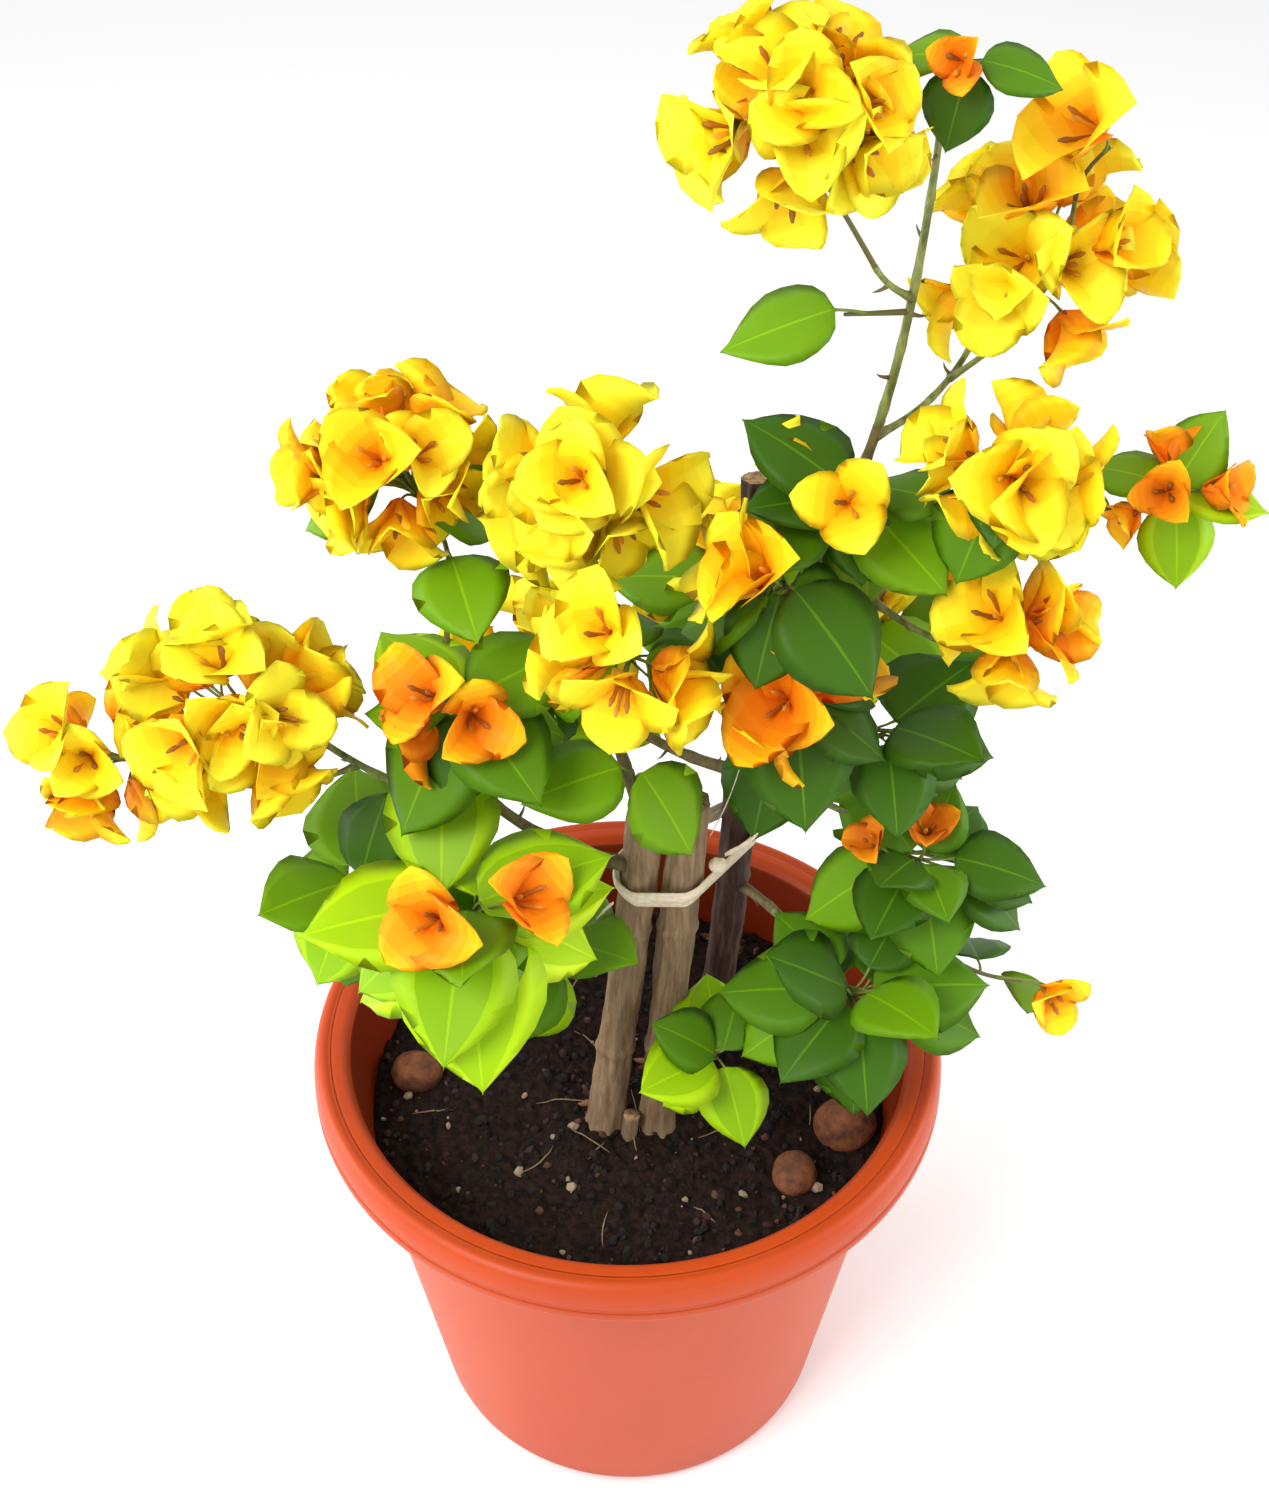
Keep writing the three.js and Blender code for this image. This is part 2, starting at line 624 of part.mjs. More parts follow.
// The rim is turned over: its skirt hangs outside the body, with a hollow between the two.
function makePot() {
  const underSkirt = POT.height - POT.skirtDrop;
  const underRim = POT.height - POT.wall;
  return lathe(
    [
      [0, 0],
      [POT.baseRadius - POT.baseBevel, 0],
      [wallRadius(POT.baseBevel), POT.baseBevel],
      [wallRadius(underRim), underRim],
      [POT.skirtRadius - POT.wall - 1, underRim],
      [POT.skirtRadius - POT.wall, underSkirt],
      [POT.skirtRadius, underSkirt],
      [POT.skirtRadius - 0.4, POT.height - 7],
      [POT.rimRadius, POT.height - 3],
      [POT.creaseRadius, POT.height],
      [POT.mouthRadius + 3, POT.height],
      [POT.mouthRadius, POT.height - 4],
      [wallRadius(POT.floor) - POT.wall, POT.floor],
      [0, POT.floor],
    ],
    POT.segments,
  );
}

function makeSoil() {
  const inside = (z) => wallRadius(z) - POT.wall - GAP;
  const bottom = POT.floor + GAP;
  return lathe(
    [
      [0, bottom],
      [inside(bottom), bottom],
      [inside(SOIL.edge), SOIL.edge],
      [SOIL.crownRadius, SOIL.crown - 1],
      [0, SOIL.crown],
    ],
    SOIL.segments,
  );
}

function makeStone(row, pad) {
  const [length, width, height] = row.size;
  const geometry = new THREE.IcosahedronGeometry(1, 1);
  geometry.scale(length + pad, width + pad, height + pad);
  geometry.translate(row.x, row.y, SOIL.edge + 1 + height * (1 - 2 * STONE_SINK));
  return solidOfGeometry(geometry);
}

// The outline round all three canes at the tie's height, `pad` off their bark.
function tieLoop(pad) {
  const rings = ['cane_left', 'cane_front', 'cane_dark'].map((name) => {
    const { curve, radii } = limbs.get(name);
    const foot = curve.getPoint(0).z;
    const share = (TIE.height - foot) / (curve.getPoint(1).z - foot);
    return { centre: curve.getPoint(share), radius: mix(radii[0], radii[1], share) };
  });
  const loop = [];
  for (let i = 0; i < TIE.steps; i += 1) {
    const angle = (2 * Math.PI * i) / TIE.steps;
    const spoke = new THREE.Vector2(Math.cos(angle), Math.sin(angle));
    const reaches = rings.map(({ centre, radius }) => centre.x * spoke.x + centre.y * spoke.y + radius);
    const outer = rings[reaches.indexOf(Math.max(...reaches))];
    const distance = outer.radius + pad;
    loop.push(new THREE.Vector2(outer.centre.x + spoke.x * distance, outer.centre.y + spoke.y * distance));
  }
  return loop;
}

function makeTie() {
  const shape = new THREE.Shape(tieLoop(2 * GAP + TIE.thick));
  shape.holes.push(new THREE.Path(tieLoop(2 * GAP)));
  const geometry = new THREE.ExtrudeGeometry(shape, { depth: TIE.band, bevelEnabled: false });
  return solidOfGeometry(geometry.translate(0, 0, TIE.height - TIE.band / 2));
}

// ---- Assembly ----

const plant = new THREE.Group();

function addPiece(name, solid, colour, roughness) {
  const material = new THREE.MeshStandardMaterial({ color: colour, roughness, metalness: 0 });
  const mesh = new THREE.Mesh(geometryOf(solid), material);
  mesh.name = name;
  plant.add(mesh);
}

LIMBS.forEach(growLimb);
limbs.forEach(({ curve, radii }, name) => {
  limbSamples(curve, radii).forEach((sample) => taken.push({ owner: name, ...sample }));
});
const sprays = SPRAYS.map(startSpray);
sprays.forEach((spray) => {
  const owner = spray.row.name;
  limbSamples(spray.curve, spray.radii).forEach((sample) => taken.push({ owner, ...sample }));
});
sprays.forEach(growSpray);

const stones = STONES.map((row) => {
  return { name: row.name, solid: makeStone(row, 0), grown: makeStone(row, GAP) };
});
const canes = [...limbs.values()].slice(0, 3);
let soil = makeSoil();
canes.forEach((cane) => {
  soil = soil.subtract(cane.grown);
});
stones.forEach((stone) => {
  soil = soil.subtract(stone.grown);
});

addPiece('pot', makePot(), 0xc8552f, 0.45);
addPiece('soil', soil, 0x2e1d14, 0.95);
stones.forEach((stone) => addPiece(stone.name, stone.solid, 0x7a4a30, 0.8));
addPiece('tie', makeTie(), 0xdcc8a0, 0.7);
limbs.forEach(({ solid }, name) => addPiece(name, solid, name === 'cane_dark' ? 0x4a3022 : 0x9a836a, 0.8));
sprays.forEach((spray) => {
  const flowery = spray.row.blooms > spray.row.leaves;
  const blades = spray.shapes.map(({ vertices, triangles }) => solidOf(vertices, triangles));
  addPiece(spray.row.name, fused([spray.stem, ...blades]), flowery ? 0xf5c518 : 0x4f9a2a, 0.6);
});

export default plant;
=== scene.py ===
"""A young bougainvillea in a plastic pot: three canes tied with raffia, slender boughs, and
sprays of papery bracts and leaves that grow from the boughs by a seeded rule."""

from collections import namedtuple
from math import cos, pi, radians, sin, sqrt

import bpy
import numpy as np
from bpy.props import FloatProperty, FloatVectorProperty, IntProperty, PointerProperty
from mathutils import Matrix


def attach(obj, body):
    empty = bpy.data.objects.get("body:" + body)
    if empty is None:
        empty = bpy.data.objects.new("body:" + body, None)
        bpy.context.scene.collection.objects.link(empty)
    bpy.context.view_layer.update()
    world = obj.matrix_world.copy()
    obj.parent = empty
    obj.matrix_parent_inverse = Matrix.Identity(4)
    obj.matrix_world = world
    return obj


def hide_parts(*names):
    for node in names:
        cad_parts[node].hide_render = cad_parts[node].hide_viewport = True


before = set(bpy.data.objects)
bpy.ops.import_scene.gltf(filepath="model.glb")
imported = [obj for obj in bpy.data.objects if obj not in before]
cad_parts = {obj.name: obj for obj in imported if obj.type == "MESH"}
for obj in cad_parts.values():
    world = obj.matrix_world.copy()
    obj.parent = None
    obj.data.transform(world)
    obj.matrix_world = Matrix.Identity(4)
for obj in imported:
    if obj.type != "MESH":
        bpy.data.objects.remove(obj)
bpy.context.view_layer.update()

bl_info = {
    "name": "Potted bougainvillea",
    "version": (1, 0, 0),
    "blender": (4, 5, 0),
    "location": "3D View > Sidebar > Bougainvillea",
    "description": "Builds a young bougainvillea with yellow bracts in a plastic pot",
    "category": "Add Mesh",
}

# ---- Sizes of the plant, in millimetres ----

MM = 0.001
GAP = 0.3  # clearance between a limb's tip and the stem beyond it, the soil and the pot, tie and canes
GOLDEN = radians(137.5)
COVER = 0.55  # how far past the heart's equator the spiral of a spray goes
UP = np.array([0.0, 0.0, 1.0])
FRONT = (0, -0.6, 0.8)
BACK = (0, 0.6, 0.8)
ASIDE = (0.9, -0.3, 0.2)

# A limb starts at its foot, or at a share of the way along the limb it grows on, and ends at its
# tip. Its middle bows off the straight line, and it tapers evenly between its two radii.
Limb = namedtuple("Limb", "name root tip bow radii")
LIMBS = (
    Limb("cane_left", (-11.3, -21.1, 140), (7.5, -8, 324), (0, 0, 0), (7.3, 6.6)),
    Limb("cane_front", (9.7, -21.1, 140), (23, -8, 329), (0, 0, 0), (7.4, 6.6)),
    Limb("cane_dark", (31, 20, 140), (44, 30, 440), (4, -9, 0), (6.8, 5.4)),
    Limb("bough_tall", ("cane_dark", 0.8), (89, 0, 586), (12, 5, -26), (2.6, 1)),
    Limb("bough_truss_left", ("bough_tall", 0.76), (73, -3, 534), (-1, 0, -1), (1.1, 0.9)),
    Limb("bough_truss_right", ("bough_tall", 0.54), (112, 36, 488), (3, 2, -5), (1.3, 1)),
    Limb("bough_single", ("bough_truss_right", 0.7), (136, 27, 540), (7, -6, 0), (1, 0.8)),
    Limb("bough_right", ("cane_dark", 0.74), (104, -5, 442), (2, 0, -2), (2.3, 1.2)),
    Limb("bough_right_out", ("bough_right", 0.8), (154, 20, 433), (0, 0, 3), (1, 0.8)),
    Limb("bough_right_under", ("bough_right", 0.6), (114, -2, 393), (2, 0, -4), (1.3, 1)),
    Limb("bough_right_mid", ("cane_dark", 0.58), (88, -4, 312), (0, 0, 5), (1.8, 1.1)),
    Limb("bough_right_low", ("cane_dark", 0.42), (70, -22, 262), (0, 0, 5), (2.1, 1.3)),
    Limb("bough_right_tip", ("bough_right_low", 0.8), (126, -22, 258), (0, 0, 7), (1.1, 0.9)),
    Limb("bough_mid", ("cane_dark", 0.86), (51, -8, 424), (0, 0, -4), (1.8, 1.1)),
    Limb("bough_centre", ("cane_left", 0.97), (-10, 0, 438), (-7, 5, 0), (2.4, 1.2)),
    Limb("bough_centre_low", ("bough_centre", 0.45), (0, -18, 396), (0, -4, -3), (1.3, 1)),
    Limb("bough_left", ("cane_left", 0.86), (-60, -14, 350), (-3, 0, -9), (2.9, 1.5)),
    Limb("bough_left_fork", ("bough_left", 0.88), (-59, 2, 418), (-4, 0, 0), (1.4, 1)),
    Limb("bough_far_left", ("bough_left", 0.8), (-108, -16, 366), (0, 0, -8), (1.7, 1.1)),
    Limb("bough_far_tip", ("bough_far_left", 0.75), (-149, -10, 341), (0, 0, -7), (1.1, 0.9)),
    Limb("bough_left_low", ("cane_left", 0.62), (-40, -44, 296), (0, -3, -6), (2.2, 1.3)),
    Limb("bough_left_side", ("bough_left_low", 0.6), (-70, -28, 298), (0, 0, -4), (1.4, 1.1)),
    Limb("bough_back_left", ("cane_dark", 0.6), (-12, 56, 322), (0, 0, -5), (2.4, 1.5)),
    Limb("bough_back_mid", ("cane_dark", 0.78), (40, 68, 362), (0, 0, -4), (2.4, 1.5)),
    Limb("bough_back_right", ("cane_dark", 0.64), (80, 60, 350), (0, 0, -5), (2.4, 1.5)),
)
CANES = ("cane_left", "cane_front", "cane_dark")

# A spray grows from a limb's tip, or from the limb's side where `at` is given. `green` and `gold`
# are where its leaves and bracts lie in their rows of colours: 0 is deep, and below 0 more of each
# bloom is orange.
Spray = namedtuple(
    "Spray", "name on at heart reach blooms leaves axils bract leaf green gold face", defaults=(FRONT,)
)
SPRAYS = (
    Spray("tip", "bough_tall", None, (95, -2, 594), (17, 12, 11), 1, 3, 1, 13, 22, 1, -2),
    Spray("shoot", "bough_tall", 0.74, (66, 2, 517), (16, 12, 12), 0, 1, 0, 20, 34, 2, 1),
    Spray("truss_left", "bough_truss_left", None, (47, -16, 584), (35, 28, 31), 14, 0, 0, 24, 32, 1, 2),
    Spray("truss_right", "bough_truss_right", None, (128, 32, 517), (39, 30, 38), 14, 0, 0, 26, 32, 1, 2),
    Spray("single", "bough_single", None, (144, 24, 561), (21, 18, 22), 2, 0, 0, 28, 20, 1, 2),
    Spray("right_upper", "bough_right", None, (118, -15, 470), (29, 22, 26), 5, 1, 1, 27, 32, 1, 2),
    Spray("right_out", "bough_right_out", None, (183, 24, 438), (23, 18, 23), 1, 4, 1, 18, 28, 3, -1),
    Spray("right_under", "bough_right_under", None, (127, -12, 409), (23, 20, 26), 4, 1, 1, 26, 36, 1, 1),
    Spray("mid_low", "cane_dark", 0.78, (56, -24, 388), (26, 20, 26), 2, 3, 1, 29, 40, 1, 0),
    Spray("mid", "bough_mid", None, (50, -26, 436), (26, 20, 24), 1, 3, 0, 32, 38, 1, 2),
    Spray("mid_upper", "cane_dark", 0.96, (74, 4, 447), (33, 26, 27), 2, 7, 0, 24, 36, 1, 1),
    Spray("right_leafy", "cane_dark", 0.68, (90, -9, 361), (29, 26, 30), 0, 7, 1, 18, 38, 0, 1),
    Spray("right_mid", "bough_right_mid", None, (106, -14, 304), (46, 28, 26), 1, 8, 1, 16, 36, 1, -2),
    Spray("right_low", "bough_right_low", None, (84, -38, 258), (46, 34, 38), 0, 10, 1, 18, 40, 1, 0),
    Spray("right_tip", "bough_right_tip", None, (155, -22, 249), (28, 14, 14), 1, 1, 1, 20, 32, 1, 0, ASIDE),
    Spray("crotch", "cane_left", 0.94, (2, -28, 361), (24, 14, 12), 0, 2, 0, 20, 34, 1, 1),
    Spray("centre_top", "bough_centre", None, (-9, -4, 459), (33, 26, 30), 9, 1, 1, 28, 34, 1, 3),
    Spray("centre_low", "bough_centre_low", None, (1, -38, 416), (27, 24, 38), 8, 1, 1, 26, 34, 2, 1),
    Spray("left_truss", "bough_left_fork", None, (-73, 8, 458), (37, 28, 29), 10, 3, 1, 25, 38, 2, 1),
    Spray("left_small", "bough_left", None, (-54, -28, 388), (32, 24, 26), 1, 4, 1, 22, 42, 2, -1),
    Spray("far_left", "bough_far_left", None, (-132, -22, 380), (40, 32, 40), 14, 0, 1, 27, 34, 1, 2),
    Spray("far_tip", "bough_far_tip", None, (-183, -12, 355), (26, 24, 34), 6, 0, 0, 24, 30, 1, 1),
    Spray("left_low", "bough_left_low", None, (-54, -62, 326), (44, 34, 38), 2, 7, 0, 24, 50, 4, -1),
    Spray("left_side", "bough_left_side", None, (-95, -26, 304), (34, 28, 34), 0, 5, 1, 20, 44, 2, 1),
    Spray("left_inner", "cane_left", 0.72, (-26, -28, 274), (30, 24, 32), 0, 5, 0, 20, 36, 2, 1),
    Spray("base", "cane_front", 0.42, (35, -44, 230), (30, 18, 20), 0, 4, 0, 20, 34, 3, 1),
    Spray("back_left", "bough_back_left", None, (-34, 80, 312), (44, 38, 36), 4, 7, 1, 28, 44, 2, 2, BACK),
    Spray("back_mid", "bough_back_mid", None, (40, 92, 352), (38, 36, 34), 5, 6, 1, 28, 44, 2, 2, BACK),
    Spray("back_right", "bough_back_right", None, (98, 80, 340), (46, 38, 38), 3, 7, 1, 28, 44, 1, 2, BACK),
)

LEAF_OUTLINE_MIDDLE = 0.28  # where along a leaf's length its clearance samples are widest
LEAF_WIDTH, LEAF_CUP, LEAF_BEND, LEAF_DROOP = 0.76, 0.1, -0.14, 0.45
BLOOM_OPENING = radians(50)
# A bract's rim in its clearance samples: turn in radians, length and rise as shares of its size.
BLOOM_LOBE = ((-0.66, 0.84, 0.06), (0.0, 1.0, 0.0), (0.66, 0.84, 0.06))
SIZES = (0.88, 1.12)  # a bloom or leaf is between these shares of its spray's size
LEAF_DEPTH = 0.8  # how far a leaf reaches out from its base, as a share of its length
PETIOLE = 7.0  # length of the stalk of a leaf that stands on the stem
CLEAR, CLEAR_OWN = 5.2, 4.2  # least distances to a neighbour's sample points, and to its own
FILL_CLEAR = 2.4  # the same to a neighbour for the blooms and leaves that fill a spray,
FILL_CLEAR_OWN = {"bloom": 1.2, "leaf": 1.9}  # and to their own
FILL_SIZES = {"bloom": (0.85, 1.1), "leaf": (0.7, 1)}  # their sizes, as shares of the spray's own
TURNS = (0, 0.5, -0.5, 1.0, -1.0, 1.6)  # tries, in radians, before a twig is skipped
STEM_END, STEM_SIDE, TWIG = 0.9, 1.6, 0.8
SIDE_SHARE = 0.8  # a stem on a limb's side is at most this share of the limb there
STAGGER, GOLDEN_PART = 0.2, 0.618  # how far behind the outline, by turns, a spray's blooms stand
STARTS = 8  # starting turns that a spray is tried at, of which the fullest is kept
BLOOM_WORTH = 2  # leaves that a bloom counts for when the fullest is chosen


# ---- Small helpers ----


def unit(vector):
    """A vector, or an array of them, scaled to length 1."""
    vector = np.asarray(vector, float)
    return vector / np.linalg.norm(vector, axis=-1, keepdims=True)


def mix(a, b, share):
    """The value a share of the way from a to b."""
    return a + (b - a) * share


def square_to(axis):
    """Two directions square to an axis and to each other."""
    reference = UP if abs(axis[2]) < 0.9 else np.array([1.0, 0.0, 0.0])
    side = unit(np.cross(axis, reference))
    return side, np.cross(axis, side)


def spoke_at(side, rise, angle):
    """The direction at an angle from one side towards another that is square to it."""
    return side * cos(angle) + rise * sin(angle)


def even_turn(count):
    """So many angles, spread evenly round a full turn."""
    return 2 * pi * np.arange(count) / count


def on_circle(angle):
    """The points of a circle of radius 1 at an array of angles."""
    return np.stack([np.cos(angle), np.sin(angle)], axis=-1)


def seeded(seed):
    """A function that returns evenly spread numbers from 0 to 1 by a linear congruential rule."""
    state = seed

    def draw():
        nonlocal state
        state = (state * 1664525 + 1013904223) & 0xFFFFFFFF
        return state / 4294967296

    return draw


def linear(code):
    """A colour given as 0xRRGGBB, in the linear values that shaders take."""
    parts = np.array([code >> 16 & 255, code >> 8 & 255, code & 255]) / 255
    return tuple(np.where(parts <= 0.04045, parts / 12.92, ((parts + 0.055) / 1.055) ** 2.4))


def ripples(points, waves, longest, shortest, seed):
    """A rough field at an array of points: the mean of sines whose directions and phases are
    random and whose wavelengths run from `longest` to `shortest`, each as high as it is long."""
    random = np.random.default_rng(seed)
    lengths = np.geomspace(longest, shortest, waves)
    directions = unit(random.normal(size=(waves, points.shape[-1]))) * (2 * pi / lengths)[:, None]
    phases = random.uniform(0, 2 * pi, waves)
    weights = lengths / lengths.sum()
    return np.sin(points @ directions.T + phases) @ weights


# ---- The rule by which the plant grows ----


class Curve:
    """A quadratic Bezier: (1-t)^2 start + 2 t (1-t) control + t^2 end."""

    def __init__(self, start, control, end):
        self.start, self.control, self.end = (np.asarray(p, float) for p in (start, control, end))

    def at(self, share):
        t = np.asarray(share, float)[..., None]
        return (1 - t) ** 2 * self.start + 2 * t * (1 - t) * self.control + t**2 * self.end

    def tangent(self, share):
        t = np.asarray(share, float)[..., None]
        return unit((1 - t) * (self.control - self.start) + t * (self.end - self.control))

    def length(self):
        points = self.at(np.linspace(0, 1, 201))
        return np.linalg.norm(np.diff(points, axis=0), axis=1).sum()


def grow_limbs():
    """Every limb's curve and radii by its name."""
    limbs = {}
    for limb in LIMBS:
        on_limb = isinstance(limb.root[0], str)
        start = limbs[limb.root[0]][0].at(limb.root[1]) if on_limb else np.array(limb.root, float)
        tip = np.array(limb.tip, float)
        control = (start + tip) / 2 + 2 * np.array(limb.bow, float)
        limbs[limb.name] = (Curve(start, control, tip), limb.radii)
    return limbs


class Space:
    """The sample points already taken: each has its owner, and a radius if it lies on wood."""

    def __init__(self):
        self.points = np.empty((0, 3))
        self.radii = np.empty(0)
        self.owners = np.empty(0, int)

    def take(self, owner, points, radii):
        self.points = np.vstack([self.points, points])
        self.radii = np.append(self.radii, np.broadcast_to(radii, len(points)))
        self.owners = np.append(self.owners, np.full(len(points), owner))

    def state(self):
        return self.points, self.radii, self.owners

    def restore(self, state):
        self.points, self.radii, self.owners = state

    def is_clear(self, owner, samples, apart, apart_own):
        """True if every sample keeps its distance from every point taken. A spray's own wood does
        not count."""
        centre = samples.mean(axis=0)
        half = np.abs(samples - centre).max(axis=0) + max(apart, self.radii.max() + apart / 2)
        near = (np.abs(self.points - centre) < half).all(axis=1)
        points, radii, own = self.points[near], self.radii[near], self.owners[near] == owner
        least = np.where(radii > 0, radii + apart / 2, apart)
        least[own] = np.where(radii[own] > 0, 0, apart_own)
        counts = least > 0
        away = samples[:, None, :] - points[None, counts, :]
        return bool(((away**2).sum(axis=2) > least[counts] ** 2).all())


def take_curve(space, owner, curve, radii):
    """Marks a limb or stem as taken, with a sample every 3 mm or so."""
    shares = np.linspace(0, 1, int(np.ceil(curve.length() / 3)) + 1)
    space.take(owner, curve.at(shares), mix(*radii, shares))


def leaf_samples(base, direction, normal, length):
    """Points all over a leaf's blade."""
    side = unit(np.cross(direction, normal))
    along = np.array([0.12, 0.28, 0.44, 0.6, 0.76, 0.9, 1.0])[:, None]
    tapered = mix(0.5, 0, (along - LEAF_OUTLINE_MIDDLE) / (1 - LEAF_OUTLINE_MIDDLE))
    half = np.where(along < LEAF_OUTLINE_MIDDLE, along / (2 * LEAF_OUTLINE_MIDDLE), tapered)
    across = half * np.array([-1, -0.5, 0, 0.5, 1])
    height = LEAF_CUP * abs(across) * 2 + LEAF_BEND * along**2
    parts = np.stack(np.broadcast_arrays(along, across * LEAF_WIDTH, height), axis=-1)
    return base + length * parts.reshape(-1, 3) @ np.array([direction, side, normal])


def bloom_samples(base, axis, spin, size):
    """Points all over a bloom's three bracts."""
    side, rise = square_to(axis)
    rim = []
    for k in range(3):
        for turn, length, lift in BLOOM_LOBE:
            angle = spin + k * 2 * pi / 3 + turn
            spoke = spoke_at(side, rise, angle)
            up = cos(BLOOM_OPENING) * length + lift
            rim.append(base + size * (axis * up + spoke * sin(BLOOM_OPENING) * length))
    rim = np.array(rim)
    rim = np.vstack([rim, (rim + np.roll(rim, -1, axis=0)) / 2])
    return np.vstack([mix(base, rim, share) for share in (0.4, 0.7, 1)])


class SprayGrowth:
    """One spray as it grows: its stem, and lists of the blooms and leaves that found room."""

    def __init__(self, number, row, limbs):
        limb, limb_radii = limbs[row.on]
        self.row, self.number = row, number
        self.heart = np.array(row.heart, float)
        self.reach = np.array(row.reach, float)
        self.face = unit(row.face)
        tip_tangent = limb.tangent(1)
        start = limb.at(1) + tip_tangent * GAP if row.at is None else limb.at(row.at)
        hub = self.heart - self.face * 0.25 * min(row.reach)
        first = tip_tangent if row.at is None else unit(hub - start)
        span = np.linalg.norm(hub - start)
        self.stem = Curve(start, start + first * span * 0.45, hub)
        limb_there = mix(*limb_radii, 1 if row.at is None else row.at)
        root = limb_there if row.at is None else min(STEM_SIDE, SIDE_SHARE * limb_there)
        self.radii = (root, STEM_END)
        self.side, self.rise = square_to(self.face)

    def outward(self, level, angle):
        """The direction at a level from -1 to 1 along the spray's face, and an angle round it."""
        ring = sqrt(1 - level * level)
        return self.face * level + self.side * ring * cos(angle) + self.rise * ring * sin(angle)

    def base_inside(self, kind, outward, size, depth):
        """Where a bloom or leaf starts if its end is to lie at a depth inside the spray's outline."""
        reach = outward * self.reach
        drawn = size * (cos(BLOOM_OPENING) if kind == "bloom" else LEAF_DEPTH)
        return self.heart + reach * depth * max(1 - drawn / np.linalg.norm(reach), 0.2)

    def attach(self, space, kind, share, base, facing, spin, size, apart, apart_own):
        """Adds a bloom or leaf on its stalk if it keeps clear of all that is taken."""
        on_stem = self.stem.at(share)
        if kind == "bloom":
            samples = bloom_samples(base, facing, spin, size)
            item = (base, facing, spin, size)
        else:
            direction = unit(facing - UP * LEAF_DROOP)
            sky = np.array([0, -0.3, 0.95]) + facing * 0.3
            normal = unit(sky - direction * sky.dot(direction))
            samples = leaf_samples(base, direction, normal, size)
            item = (base, direction, normal, size)
        stalk = mix(on_stem, base, np.array([[0.3], [0.5], [0.7], [0.9]]))
        if not space.is_clear(self.number, np.vstack([samples, stalk]), apart, apart_own):
            return False
        space.take(self.number, samples, 0)
        space.take(self.number, stalk, TWIG)
        (self.blooms if kind == "bloom" else self.leaves).append(item)
        end = facing if kind == "bloom" else item[1]
        self.stalks.append((on_stem, base, end, self.stem.tangent(share)))
        return True

    def grow(self, space):
        """Grows at each starting turn, and keeps the fullest."""
        before = space.state()
        fullest = None
        for k in range(STARTS):
            space.restore(before)
            self.turn = k * 2 * pi / STARTS
            self.blooms, self.leaves, self.stalks = [], [], []
            self.grow_at(space)
            worth = BLOOM_WORTH * len(self.blooms) + len(self.leaves)
            if fullest is None or worth > fullest[0]:
                fullest = worth, self.turn, self.blooms, self.leaves, self.stalks, space.state()
        _, self.turn, self.blooms, self.leaves, self.stalks, after = fullest
        self.outer = len(self.leaves)
        space.restore(after)

    def grow_at(self, space):
        """Blooms, then leaves, on a golden-angle spiral round the heart, from the pole that faces
        out; then the leaves that stand along the stem."""
        row, draw = self.row, seeded(7919 * (self.number + 1))
        total = row.blooms + row.leaves
        for i in range(total):
            kind = "bloom" if i < row.blooms else "leaf"
            level = 1 - (1 + COVER) * (i + 0.5) / total
            spin = draw() * 2 * pi
            size = (row.bract if kind == "bloom" else row.leaf) * mix(*SIZES, draw())
            share = mix(0.6 if kind == "bloom" else 0.35, 1, (level + COVER) / (1 + COVER))
            depth = 1 - STAGGER * (i * GOLDEN_PART % 1)
            for extra in TURNS:
                outward = self.outward(level, self.turn + i * GOLDEN + extra)
                base = self.base_inside(kind, outward, size, depth)
                if self.attach(space, kind, share, base, outward, spin, size, CLEAR, CLEAR_OWN):
                    break
        for j in range(row.axils):
            share = 0.7 * (j + 0.4) / row.axils
            out, up = square_to(self.stem.tangent(share))
            size = row.leaf * mix(*SIZES, draw())
            for extra in TURNS:
                angle = self.turn + pi + j * GOLDEN + extra
                outward = spoke_at(out, up, angle)
                base = self.stem.at(share) + outward * PETIOLE
                if self.attach(space, "leaf", share, base, outward, 0, size, CLEAR, CLEAR_OWN):
                    break

    def fill(self, space, amount):
        """More of the same spiral, a little smaller and deeper in the spray, where there is room. A
        spray of one or two leaves stays as it is."""
        row, random = self.row, np.random.default_rng(101 + self.number)
        total = row.blooms + row.leaves
        for i in range(round(total * amount) if total > 2 else 0):
            kind = "bloom" if random.random() < row.blooms / total else "leaf"
            full = row.bract if kind == "bloom" else row.leaf
            size = full * random.uniform(*FILL_SIZES[kind])
            level = 1 - (1 + COVER) * random.random()
            outward = self.outward(level, self.turn + (i + 0.5) * GOLDEN)
            base = self.base_inside(kind, outward, size, random.uniform(0.5, 1))
            spin = random.uniform(0, 2 * pi)
            share = random.uniform(0.5, 1)
            self.attach(space, kind, share, base, outward, spin, size, FILL_CLEAR, FILL_CLEAR_OWN[kind])


def grow_plant(fill):
    """The sprays that grow on the limbs: first each one's own blooms and leaves, then the fill."""
    limbs = grow_limbs()
    space = Space()
    for number, (curve, limb_radii) in enumerate(limbs.values()):
        take_curve(space, -1 - number, curve, limb_radii)
    sprays = [SprayGrowth(number, row, limbs) for number, row in enumerate(SPRAYS)]
    for spray in sprays:
        take_curve(space, spray.number, spray.stem, spray.radii)
    for spray in sprays:
        spray.grow(space)
    for spray in sprays:
        spray.fill(space, fill)
    return sprays


# ---- Surfaces ----


def grid_faces(rows, columns, closed_rows=False, closed_columns=True):
    """The quads of a grid of points, wound so that they face out when the columns run
    anticlockwise as seen from the grid's last row."""
    across = np.arange(columns if closed_columns else columns - 1)
    down = np.arange(rows if closed_rows else rows - 1)[:, None]
    here, below = down * columns, ((down + 1) % rows) * columns
    beside = (across + 1) % columns
    return np.stack([here + across, here + beside, below + beside, below + across], -1).reshape(-1, 4)


